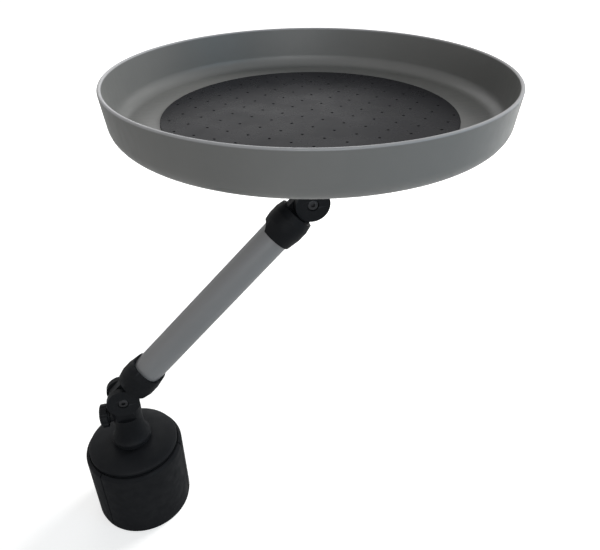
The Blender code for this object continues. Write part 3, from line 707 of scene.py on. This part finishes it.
def makeFlange():
    # drawn spigot up in the hinge frame, as the insert's is, and turned over with the tray's kit
    shoulder = -spigot["shoulderDrop"]
    front = shoulder - flange["neck"]
    back = front - flange["thick"]
    rings = spigotRings() + softCorners([
        (flange["neckRadius"], shoulder, fit["edge"]),
        (flange["neckRadius"], front, flange["neckRound"]),
        (flange["radius"], front, flange["edgeRound"]),
        (flange["radius"], back, fit["edge"]),
        (fit["pole"], back),
    ], steps=5)
    piece = turnSolid("trayFlange", rings, flange["sides"])
    high, low = front + flange["bossHigh"], back + fit["gap"]
    bossRings = softCorners([
        (fit["pole"], high), (flange["bossRadius"], high, flange["bossRound"]),
        (flange["bossRadius"] + flange["bossSpread"], low), (fit["pole"], low),
    ], steps=4)
    for spot in flangeScrewSpots():
        boss = turnSolid("boss", bossRings, fit["sides"])
        shapeWith(piece, settle(boss, Matrix.Translation(spot)), way="UNION")
    settle(piece, trayKit)
    shapeWith(piece, *flangeScrewRooms())
    finishPiece(smoothFaces(piece), "tray_flange", looks["joint"])


def makeFlangeScrews():
    for index, place in enumerate(flangeScrewPlaces(), 1):
        piece = countersunkScrew("trayScrew%d" % index, flangeScrews["length"], place)
        finishPiece(piece, "tray_screw_%d" % index, looks["steel"])


makePan()
makeMat()
makeFlange()
makeFlangeScrews()
print("tray done")


# Arm: tube and sleeves, along +X from the hinge

sleeve = {
    "start": 0.0117,
    "neckRadius": 0.0119,
    "bellyStart": 0.017,
    "bellyEnd": 0.0235,
    "bellyRadius": 0.0131,
    "end": 0.033,
    "mouthRadius": 0.0115,
    "mouthRound": 0.0006,
    "bore": 0.0106,
    "tongueRadius": 0.0095,
    "tongueHalf": 0.003,
    "boltHole": 0.0023,
    "scallopDeep": 0.005,
    "scallopRadius": 0.0075,
    "scallopGap": 0.001,        # from the tube's axis to the scallop
    "scallopTurnDeg": 60,       # from the upper side towards the bolt head
    "screwLong": 0.0048,
    "sides": 128,
}
sleeveScrewSpot = Matrix.Translation((sleeve["bellyEnd"], 0, -sleeve["bellyRadius"]))
sleeveScrewPlace = sleeveScrewSpot @ Matrix.Rotation(math.pi, 4, "X")


def makeSleeve():
    bulge = sleeve["bellyRadius"]
    rings = softCorners([
        (fit["pole"], sleeve["end"]),
        (sleeve["mouthRadius"], sleeve["end"], sleeve["mouthRound"]),
        (bulge, sleeve["bellyEnd"], bulge - sleeve["mouthRadius"]),
        (bulge, sleeve["bellyStart"], bulge - sleeve["neckRadius"]),
        (sleeve["neckRadius"], sleeve["start"]),
        (fit["pole"], sleeve["start"]),
    ], steps=8)
    piece = settle(turnSolid("sleeve", rings, sleeve["sides"]), alongX)
    half, high, fine = sleeve["tongueHalf"], sleeve["tongueRadius"], fit["fineSides"]
    tongue = roundBar(high, -half, half, "Y", sides=fine)
    web = slab((0, -half, -high), (sleeve["start"] + fit["over"], half, high))
    shapeWith(tongue, web, way="UNION")
    shapeWith(piece, tongue, way="UNION")
    hole = roundBar(sleeve["boltHole"], -bulge, bulge, "Y")
    mouth = sleeve["end"] + fit["over"]
    bore = roundBar(sleeve["bore"], sleeve["bellyStart"], mouth, "X", sides=fine)
    across = sleeve["scallopRadius"]
    spot = (sleeve["end"] - sleeve["scallopDeep"] + across, sleeve["scallopGap"] + across)
    bite = roundBar(across, -bulge, bulge, "Y", at=spot, sides=fine)
    settle(bite, Matrix.Rotation(math.radians(sleeve["scallopTurnDeg"]), 4, "X"))
    shapeWith(piece, hole, bore, bite, screwRoom(sleeve["screwLong"], sleeveScrewPlace))
    softenEdges(piece, fit["edge"])
    return smoothFaces(piece)


tube = {"radius": 0.0103, "wall": 0.0012, "start": 0.0173, "endRound": 0.0002, "sides": 128}


def makeTube():
    outer, inner, soft = tube["radius"], tube["radius"] - tube["wall"], tube["endRound"]
    near, far = tube["start"], armLine.length - tube["start"]
    rings = softCorners([
        (outer, far, soft), (outer, near, soft), (inner, near, soft), (inner, far, soft),
    ], steps=3)
    piece = turnSolid("armTube", rings, tube["sides"], hollow=True)
    settle(piece, baseArm @ alongX)
    for end in (baseArm, trayArm):
        shapeWith(piece, screwRoom(sleeve["screwLong"], end @ sleeveScrewPlace))
    finishPiece(smoothFaces(piece), "arm_tube", looks["tube"])


makeTube()
baseSleeve = makeSleeve()
traySleeve = copyOf(baseSleeve, "traySleeve", trayArm)
rename(baseSleeve, "baseSleeve")
finishPiece(baseSleeve, "base_sleeve", looks["joint"], baseArm)
finishPiece(traySleeve, "tray_sleeve", looks["joint"])
for end, place in (("base", baseArm), ("tray", trayArm)):
    screwPlace = place @ sleeveScrewPlace
    sleeveScrew = countersunkScrew(end + "SleeveScrew", sleeve["screwLong"], screwPlace)
    finishPiece(sleeveScrew, end + "_sleeve_screw", looks["steel"])
print("arm done")


# Posts with their bolts, nuts, washers and lock knobs, drawn about the hinge, the post below it

post = {
    "radius": 0.0104,
    "footRadius": 0.014,
    "foot": 0.0401,             # below the hinge
    "footHigh": 0.0028,
    "footRound": 0.001,
    "taperHigh": 0.014,
    "headRadius": 0.0112,
    "headProud": 0.0004,
    "forkHalf": 0.008,
    "slotHalf": 0.0043,
    "slotDrop": 0.0098,
    "flatDrop": 0.0165,
    "bore": 0.0068,
    "boreTop": 0.0117,
    "bossRadius": 0.0052,
    "bossReach": 0.0112,
    "knobDrop": 0.0155,
    "edge": 0.0004,
    "sides": 128,
}
bolt = {
    "radius": 0.002,
    "headRadius": 0.0034,
    "headHigh": 0.0019,
    "headRound": 0.0004,
    "seatRound": 0.0001,
    "recess": 0.0022,
    "socketFlats": 0.00125,
    "socketDeep": 0.0011,
    "sides": 64,
}
nut = {"halfFlats": 0.0032, "thick": 0.0019, "chamfer": 0.0003}
stud = {
    "radius": 0.002,
    "tip": 0.0057,
    "tipRound": 0.0006,
    "end": 0.0155,
    "endRound": 0.0002,
    "sides": 48,
}
boltRoom = bolt["radius"] + fit["gap"]
studRoom = stud["radius"] + fit["gap"]
boltSeat = post["forkHalf"] - bolt["recess"] + fit["gap"]       # of the head, and of the nut
knobSpot = Matrix.Translation((0, 0, -post["knobDrop"]))
knobAxis = knobSpot @ Matrix.Rotation(math.pi, 4, "Z")          # +X leads away from the arm


def makePost():
    stem, wideFoot, taper = post["radius"], post["footRadius"], post["taperHigh"]
    bottom = -post["foot"]
    waistTop = bottom + post["footHigh"] + taper
    waist = arcPoints((wideFoot, waistTop), wideFoot - stem, taper, 180, 270, steps=12)
    base = softCorners([
        waist[-1], (wideFoot, bottom, post["footRound"]), (fit["pole"], bottom),
    ], steps=5)[1:]
    rings = [(fit["pole"], 0), (stem, 0)] + waist + base
    piece = turnSolid("post", rings, post["sides"])
    start, end = stem - fit["over"], post["bossReach"]
    boss = roundBar(post["bossRadius"], start, end, "X", sides=bolt["sides"])
    shapeWith(piece, settle(boss, knobAxis), way="UNION")
    wide, past = wideFoot + fit["over"], stem + fit["over"]
    for inner, outer in ((-wide, -post["forkHalf"]), (post["forkHalf"], wide)):
        shapeWith(piece, slab((-past, inner, -post["flatDrop"]), (past, outer, wide)))
    face = post["forkHalf"] + post["headProud"]
    head = roundBar(post["headRadius"], -face, face, "Y", sides=post["sides"])
    shapeWith(piece, head, way="UNION")
    slot = slab((-wide, -post["slotHalf"], -post["slotDrop"]), (wide, post["slotHalf"], wide))
    bore = roundBar(post["bore"], bottom - fit["over"], -post["boreTop"], sides=fit["fineSides"])
    hole = roundBar(boltRoom, -wide, wide, "Y")
    seat = post["forkHalf"] - bolt["recess"]
    recess = roundBar(bolt["headRadius"] + fit["gap"], -wide, -seat, "Y", sides=bolt["sides"])
    pocket = hexBar(nut["halfFlats"] + fit["gap"], seat, wide, "Y")
    studHole = roundBar(studRoom, 0, end + fit["over"], "X")
    shapeWith(piece, slot, bore, hole, recess, pocket, settle(studHole, knobAxis))
    softenEdges(piece, post["edge"])
    return smoothFaces(piece)


def makeBolt():
    top = boltSeat + bolt["headHigh"]
    end = fit["gap"] - post["forkHalf"]
    rings = softCorners([
        (fit["pole"], top), (bolt["headRadius"], top, bolt["headRound"]),
        (bolt["headRadius"], boltSeat, bolt["seatRound"]), (bolt["radius"], boltSeat),
        (bolt["radius"], end, fit["edge"]), (fit["pole"], end),
    ], steps=4)
    piece = turnSolid("hingeBolt", rings, bolt["sides"])
    shapeWith(piece, hexBar(bolt["socketFlats"], top - bolt["socketDeep"], top + fit["over"]))
    settle(piece, Matrix.Rotation(math.pi / 2, 4, "X"))
    return smoothFaces(piece)


def makeNut():
    end, chamfer = boltSeat + nut["thick"], nut["chamfer"]
    corner = nut["halfFlats"] / math.cos(math.pi / 6)
    piece = hexBar(nut["halfFlats"], boltSeat, end, "Y")
    cone = turnSolid("chamfer", [
        (fit["pole"], end), (corner - chamfer * 2, end), (corner, end - chamfer),
        (corner, boltSeat), (fit["pole"], boltSeat),
    ], bolt["sides"])
    shapeWith(piece, settle(cone, Matrix.Rotation(-math.pi / 2, 4, "X")), way="INTERSECT")
    shapeWith(piece, roundBar(boltRoom, 0, end + fit["over"], "Y"))
    return smoothFaces(rename(piece, "hingeNut"))


washer = {
    "radius": 0.0088,
    "thick": 0.0007,
    "edge": 0.00015,
    "swivelInner": 0.0068,
    "swivelOuter": 0.0134,
    "swivelThick": 0.0008,
    "sides": 96,
}


def flatRing(name, inner, outer, low, high):
    edge = washer["edge"]
    rings = softCorners([
        (inner, high, edge), (outer, high, edge), (outer, low, edge), (inner, low, edge),
    ], steps=2)
    return smoothFaces(turnSolid(name, rings, washer["sides"], hollow=True))


knob = {
    "radius": 0.0085,
    "inner": 0.0117,
    "reach": 0.019,
    "neckRadius": 0.0056,
    "neckHigh": 0.0012,
    "rimHigh": 0.0038,
    "rimRound": 0.0005,
    "tipFlat": 0.0003,          # radius of the small flat on top of the dome
    "flutes": 8,
    "fluteRadius": 0.0016,
    "fluteSides": 32,
    "sides": 128,
}


def makeKnob():
    wide, neck, inner, reach = knob["radius"], knob["neckRadius"], knob["inner"], knob["reach"]
    rimLow = inner + knob["neckHigh"]
    rimTop = rimLow + knob["rimHigh"]
    dome = arcPoints((0, rimTop), wide, reach - rimTop, 90, 0, steps=16)
    dome[0] = (knob["tipFlat"], reach)
    rings = dome + softCorners([
        dome[-1], (wide, rimLow, knob["rimRound"]),
        (neck, rimLow), (neck, inner), (fit["pole"], inner),
    ], steps=4)[1:]
    piece = turnSolid("lockKnob", rings, knob["sides"])
    out, top = wide + knob["fluteRadius"] / 2, reach + fit["over"]
    for index in range(knob["flutes"]):
        spot = onCircle(out, math.tau * index / knob["flutes"])
        flute = roundBar(knob["fluteRadius"], inner, top, at=spot, sides=knob["fluteSides"])
        shapeWith(piece, flute)
    shapeWith(piece, roundBar(studRoom, 0, stud["end"] + fit["gap"]))
    softenEdges(piece, fit["edge"])
    settle(piece, knobAxis @ alongX)
    return smoothFaces(piece)


def makeStud():
    radius, end, tip = stud["radius"], stud["end"], stud["tip"]
    rings = softCorners([
        (fit["pole"], end), (radius, end, stud["endRound"]),
        (radius, tip, stud["tipRound"]), (fit["pole"], tip),
    ], steps=4)
    piece = turnSolid("lockStud", rings, stud["sides"])
    settle(piece, knobAxis @ alongX)
    return smoothFaces(piece)


def makeFrictionWasher(side):
    inner = sleeve["tongueHalf"] + fit["gap"]
    low, high = sorted((side * inner, side * (inner + washer["thick"])))
    piece = flatRing("frictionWasher", boltRoom, washer["radius"], low, high)
    return settle(piece, Matrix.Rotation(-math.pi / 2, 4, "X"))


def makeSwivelWasher():
    low = fit["gap"] - spigot["shoulderDrop"]
    high = low + washer["swivelThick"]
    return flatRing("swivelWasher", washer["swivelInner"], washer["swivelOuter"], low, high)


kitPieces = [
    ("Post", "_post", "joint", makePost()),
    ("HingeBolt", "_hinge_bolt", "steel", makeBolt()),
    ("HingeNut", "_hinge_nut", "steel", makeNut()),
    ("FrictionWasherNear", "_friction_washer_near", "washer", makeFrictionWasher(-1)),
    ("FrictionWasherFar", "_friction_washer_far", "washer", makeFrictionWasher(1)),
    ("LockKnob", "_lock_knob", "joint", makeKnob()),
    ("LockStud", "_lock_stud", "steel", makeStud()),
    ("SwivelWasher", "_swivel_washer", "washer", makeSwivelWasher()),
]
for title, nodeEnd, look, master in kitPieces:
    other = copyOf(master, "tray" + title, trayKit)
    rename(master, "base" + title)
    finishPiece(master, "base" + nodeEnd, looks[look], baseKit)
    finishPiece(other, "tray" + nodeEnd, looks[look])
print("posts and hinges done")


# Cup-holder insert

insert = {
    "radius": 0.035,
    "high": 0.060,
    "shoulderRound": 0.003,
    "padThick": 0.0015,
    "padFootRound": 0.0006,
    "padEdge": 0.00025,
    "padRollDeg": 80,           # how far a pad rolls over the shoulder
    "jawWall": 0.0032,
    "jawRound": 0.0002,
    "lipGap": 0.0001,
    "flangeThick": 0.003,
    "flangeInner": 0.0217,
    "seam": 0.0008,
    "seamTurnDeg": -15,
    "keyHigh": 0.0065,
    "keyWide": 0.014,
    "keyInner": 0.0124,
    "pinRadius": 0.0022,
    "pinHigh": 0.003,
    "pinStart": 0.016,
    "plateThick": 0.0025,
    "plateRadius": 0.0344,
    "plateRound": 0.0008,
    "deck": 0.0295,             # radius of the core below the jaws' flanges
    "hub": 0.0208,              # radius of the core inside the jaws' flanges
    "column": 0.012,            # radius left whole between the channels of the jaws' keys
    "screwCircle": 0.022,
    "screwLong": 0.014,
    "jaws": 3,
    "sides": 216,
}
jawLow = insert["plateThick"] + fit["gap"]
jawFlangeLow = insert["high"] - insert["flangeThick"]
rollCentre = (insert["radius"] - insert["shoulderRound"], insert["high"] - insert["shoulderRound"])


def seamTurn(index):
    return math.tau * index / insert["jaws"] + math.radians(insert["seamTurnDeg"])


def jawTurn(index):
    return seamTurn(index) + math.pi / insert["jaws"]


def floorScrewPlaces():
    places = []
    for index in range(insert["jaws"]):
        spot = Matrix.Translation((*onCircle(insert["screwCircle"], seamTurn(index)), 0))
        places.append(spot @ Matrix.Rotation(math.pi, 4, "X"))
    return places


def floorScrewRooms():
    return [screwRoom(insert["screwLong"], place) for place in floorScrewPlaces()]


def makeCore():
    hinge, top, soft = baseHinge.z, insert["high"], fit["edge"]
    deckTop = jawFlangeLow - fit["gap"]
    rings = [(radius, height + hinge) for radius, height in spigotRings()]
    rings += softCorners([
        (spigot["shoulder"], hinge - spigot["shoulderDrop"], soft), (spigot["shoulder"], top),
        (insert["hub"], top, soft), (insert["hub"], deckTop),
        (insert["deck"], deckTop, soft), (insert["deck"], jawLow, soft), (fit["pole"], jawLow),
    ], steps=3)
    piece = turnSolid("insertCore", rings, insert["sides"])
    half = insert["keyWide"] / 2 + fit["gap"]
    low = (insert["column"], -half, jawLow - fit["over"])
    high = (insert["deck"] + fit["over"], half, top + fit["over"])
    for index in range(insert["jaws"]):
        shapeWith(piece, settle(slab(low, high), Matrix.Rotation(jawTurn(index), 4, "Z")))
    shapeWith(piece, *floorScrewRooms())
    finishPiece(smoothFaces(piece), "insert_core", looks["insert"])


def makeFloorPlate():
    wide, high = insert["plateRadius"], insert["plateThick"]
    rings = softCorners([
        (fit["pole"], high), (wide, high, fit["edge"]),
        (wide, 0, insert["plateRound"]), (fit["pole"], 0),
    ], steps=5)
    piece = turnSolid("insertFloorPlate", rings, insert["sides"])
    shapeWith(piece, *floorScrewRooms())
    finishPiece(smoothFaces(piece), "insert_floor_plate", looks["insert"])


def keepSector(piece):
    # keeps one jaw's share of a ring round +X, drawn in by half the seam on both sides
    half = math.pi / insert["jaws"]
    start = (insert["seam"] / 2 / math.sin(half), 0, 0)
    for side in (1, -1):
        inEditMode(piece)
        away = (-math.sin(half), side * math.cos(half), 0)
        bpy.ops.mesh.bisect(plane_co=start, plane_no=away, use_fill=True, clear_outer=True)
        bpy.ops.object.mode_set(mode="OBJECT")
    return piece


def makeJaw():
    outer = insert["radius"] - insert["padThick"] - fit["gap"]
    inner = outer - insert["jawWall"]
    lip = rollCentre[0] - insert["lipGap"]
    soft = insert["shoulderRound"] - insert["padThick"] - fit["gap"]
    lipLow = rollCentre[1] + soft
    top, small, near = insert["high"], insert["jawRound"], insert["flangeInner"]
    rings = softCorners([
        (near, top, small), (lip, top, small), (lip, lipLow), (outer, lipLow, soft),
        (outer, jawLow, small), (inner, jawLow, small),
        (inner, jawFlangeLow), (near, jawFlangeLow, small),
    ], steps=4)
    piece = keepSector(turnSolid("jaw", rings, insert["sides"], hollow=True))
    half, start = insert["keyWide"] / 2, insert["keyInner"]
    reach = math.sqrt((inner + insert["jawWall"] / 2) ** 2 - half ** 2)
    upper = slab((start, -half, jawFlangeLow - insert["keyHigh"]), (reach, half, top))
    lower = slab((start, -half, jawLow), (reach, half, jawLow + insert["keyHigh"]))
    pinTop, spot = top + insert["pinHigh"], (insert["pinStart"], 0)
    pin = roundBar(insert["pinRadius"], top - fit["over"], pinTop, at=spot)
    shapeWith(piece, upper, lower, pin, way="UNION")
    softenEdges(piece, small)
    return smoothFaces(piece)


def makePad():
    outer, roll = insert["shoulderRound"], insert["padRollDeg"]
    inner = outer - insert["padThick"]
    outside = arcPoints(rollCentre, outer, outer, roll, 0, steps=14)
    inside = arcPoints(rollCentre, inner, inner, 0, roll, steps=10)
    foot = softCorners([
        outside[-1], (insert["radius"], jawLow, insert["padFootRound"]),
        (insert["radius"] - insert["padThick"], jawLow),
    ], steps=5)[1:]
    rings = outside + foot + inside
    piece = keepSector(turnSolid("jawPad", rings, insert["sides"], hollow=True))
    softenEdges(piece, insert["padEdge"])
    return smoothFaces(piece)


dial = {
    "edgeHigh": 0.0025,
    "domeRise": 0.0041,
    "topRadius": 0.0145,
    "edgeRound": 0.0014,
    "bore": 0.0108,
    "turnDeg": 100,
    "travel": 0.010,
    "roofGap": 0.0004,
    "slotCells": 48,
    "sides": 216,
}
dialLow = insert["high"] + fit["gap"]


def scrollSlot(index):
    # strip of cells bent along the spiral that carries a jaw's pin outwards in step with the turn
    half = insert["pinRadius"] + fit["gap"]
    low = dialLow - fit["over"]
    high = dialLow + insert["pinHigh"] + dial["roofGap"]
    turn = math.radians(dial["turnDeg"])
    bpy.ops.object.select_all(action="DESELECT")
    bpy.ops.mesh.primitive_grid_add(x_subdivisions=dial["slotCells"], y_subdivisions=1, size=2)
    strip = bpy.context.object
    ends = []
    for vertex in strip.data.vertices:
        share = (vertex.co.x + 1) / 2
        angle = jawTurn(index) - turn * share
        radius = insert["pinStart"] + dial["travel"] * share
        tangent = angle + math.atan2(-radius, dial["travel"] / turn)
        side = math.copysign(half, vertex.co.y)
        x, y = onCircle(radius, angle)
        vertex.co = (x - side * math.sin(tangent), y + side * math.cos(tangent), low)
        if share in (0, 1):
            ends.append((x, y))
    inEditMode(strip)
    bpy.ops.mesh.extrude_region_move(TRANSFORM_OT_translate={"value": (0, 0, high - low)})
    bpy.ops.mesh.select_all(action="SELECT")
    bpy.ops.mesh.normals_make_consistent(inside=False)
    bpy.ops.object.mode_set(mode="OBJECT")
    shapeWith(strip, *[roundBar(half, low, high, at=spot) for spot in ends[:2]], way="UNION")
    return strip


def makeDial():
    edgeTop = dialLow + dial["edgeHigh"]
    outer, inner, soft = rollCentre[0], dial["bore"], fit["edge"]
    flat = (dial["topRadius"], edgeTop)
    dome = arcPoints(flat, outer - dial["topRadius"], dial["domeRise"], 90, 0, steps=24)
    top = dome[0][1]
    rings = [(inner, top - soft), (inner + soft, top)] + dome + softCorners([
        dome[-1], (outer, dialLow, dial["edgeRound"]), (inner, dialLow),
    ], steps=5)[1:]
    piece = turnSolid("expanderDial", rings, dial["sides"], hollow=True)
    shapeWith(piece, *[scrollSlot(index) for index in range(insert["jaws"])])
    finishPiece(smoothFaces(piece), "expander_dial", looks["insert"])


makeCore()
makeFloorPlate()
for index, place in enumerate(floorScrewPlaces(), 1):
    floorScrew = countersunkScrew("insertScrew%d" % index, insert["screwLong"], place)
    finishPiece(floorScrew, "insert_screw_%d" % index, looks["steel"])
firstJaw, firstPad = makeJaw(), makePad()
for index in range(insert["jaws"]):
    facing = Matrix.Rotation(jawTurn(index), 4, "Z")
    number = index + 1
    finishPiece(copyOf(firstJaw, "jaw%d" % number, facing), "jaw_%d" % number, looks["insert"])
    finishPiece(copyOf(firstPad, "jawPad%d" % number, facing), "jaw_pad_%d" % number, looks["pad"])
bpy.data.objects.remove(firstJaw)
bpy.data.objects.remove(firstPad)
makeDial()
print("insert done")


# Floor, light and camera

stageLook = {
    "colour": (0.72, 0.72, 0.72),
    "roughness": 0.9,
    "specular": 0.1,
    "lift": (0.60, 0.86),       # what the camera alone sees the floor glow by, near and far
    "fade": (0.35, 1.1),        # how far away near and far are
    "size": 12,
    "drop": 0.0002,
}


def makeFloor():
    bpy.ops.object.select_all(action="DESELECT")
    below = (0, 0, -stageLook["drop"])
    bpy.ops.mesh.primitive_plane_add(size=stageLook["size"], location=below)
    floor = rename(bpy.context.object, "floor")
    look, tree, place = startLook("paleFloor")
    shader = tree.nodes["Principled BSDF"]
    shader.inputs["Base Color"].default_value = (*stageLook["colour"], 1)
    shader.inputs["Roughness"].default_value = stageLook["roughness"]
    shader.inputs["Specular IOR Level"].default_value = stageLook["specular"]
    shader.inputs["Emission Color"].default_value = (1, 1, 1, 1)
    away = tree.nodes.new("ShaderNodeVectorMath")
    away.operation = "LENGTH"
    tree.links.new(place, away.inputs[0])
    glow = rangeNode(tree, away.outputs["Value"], *stageLook["lift"], stageLook["fade"])
    rays = tree.nodes.new("ShaderNodeLightPath").outputs
    lift = mathNode(tree, "MULTIPLY", rays["Is Camera Ray"], glow)
    tree.links.new(lift, shader.inputs["Emission Strength"])
    floor.data.materials.append(look)


worldLook = {"colour": (1.0, 0.995, 0.97), "strength": 0.245, "seen": (1, 1, 1)}


def makeWorld():
    # white where it is seen, straight on or in a surface, and dim where it only lights the part
    world = bpy.data.worlds.new("studio")
    bpy.context.scene.world = world
    world.use_nodes = True
    tree = world.node_tree
    rays = tree.nodes.new("ShaderNodeLightPath").outputs
    seen = mathNode(tree, "MAXIMUM", rays["Is Camera Ray"], rays["Is Transmission Ray"])
    seen = mathNode(tree, "MAXIMUM", seen, rays["Is Glossy Ray"])
    dim = [channel * worldLook["strength"] for channel in worldLook["colour"]]
    colour = blendColours(tree, seen, dim, worldLook["seen"])
    back = tree.nodes["Background"]
    tree.links.new(colour, back.inputs["Color"])
    back.inputs["Strength"].default_value = 1.0


# turnDeg counts from +X towards +Y; the key and the sheen stand behind the tray
lamps = {
    "key": {"turnDeg": 30, "upDeg": 28, "size": 0.8, "power": 22.5,
            "colour": (1.0, 0.99, 0.97), "glossy": False},
    "front": {"turnDeg": -94, "upDeg": 25, "size": 1.2, "power": 7.0,
              "colour": (0.97, 0.99, 1.0), "glossy": True},
    "side": {"turnDeg": -42, "upDeg": 18, "size": 0.8, "power": 3.0,
             "colour": (0.45, 0.76, 1.0), "glossy": True},
    "sheen": {"turnDeg": 86, "upDeg": 32, "size": 1.1, "power": 3.0,
              "colour": (1.0, 1.0, 1.0), "glossy": True},
}
lampAim = Vector((0.08, 0, 0.18))
lampAway = 1.5


def makeLamps():
    for name, values in lamps.items():
        light = bpy.data.lights.new(name, "AREA")
        light.shape = "DISK"
        light.size = values["size"]
        light.energy = values["power"]
        light.color = values["colour"]
        lamp = bpy.data.objects.new(name, light)
        bpy.context.scene.collection.objects.link(lamp)
        turn, up = math.radians(values["turnDeg"]), math.radians(values["upDeg"])
        outward = Vector((*onCircle(math.cos(up), turn), math.sin(up)))
        lamp.location = lampAim + outward * lampAway
        lamp.rotation_euler = outward.to_track_quat("Z", "Y").to_euler()
        lamp.visible_glossy = values["glossy"]


camera = {
    "at": (0.04467, -0.32951, 0.41417),
    "toward": (0.25122, 0.96793),
    "downDeg": 33.610,
    "rollDeg": -0.601,
    "lens": 36.094,
    "sensor": 36.0,
    "clipStart": 0.01,
}


def makeCamera():
    data = bpy.data.cameras.new("camera")
    data.lens = camera["lens"]
    data.sensor_width = camera["sensor"]
    data.sensor_fit = "HORIZONTAL"
    data.clip_start = camera["clipStart"]
    view = bpy.data.objects.new("camera", data)
    bpy.context.scene.collection.objects.link(view)
    down, roll = math.radians(camera["downDeg"]), math.radians(camera["rollDeg"])
    ahead = Vector((*camera["toward"], 0)).normalized()
    forward = ahead * math.cos(down) + Vector((0, 0, -math.sin(down)))
    right = forward.cross(Vector((0, 0, 1))).normalized()
    up = right.cross(forward)
    rightRolled = right * math.cos(roll) + up * math.sin(roll)
    upRolled = up * math.cos(roll) - right * math.sin(roll)
    turn = Matrix((rightRolled, upRolled, -forward)).transposed().to_4x4()
    view.matrix_world = Matrix.Translation(Vector(camera["at"])) @ turn
    bpy.context.scene.camera = view


makeFloor()
makeWorld()
makeLamps()
makeCamera()
bpy.context.scene.view_settings.view_transform = "Standard"
print("stage done")
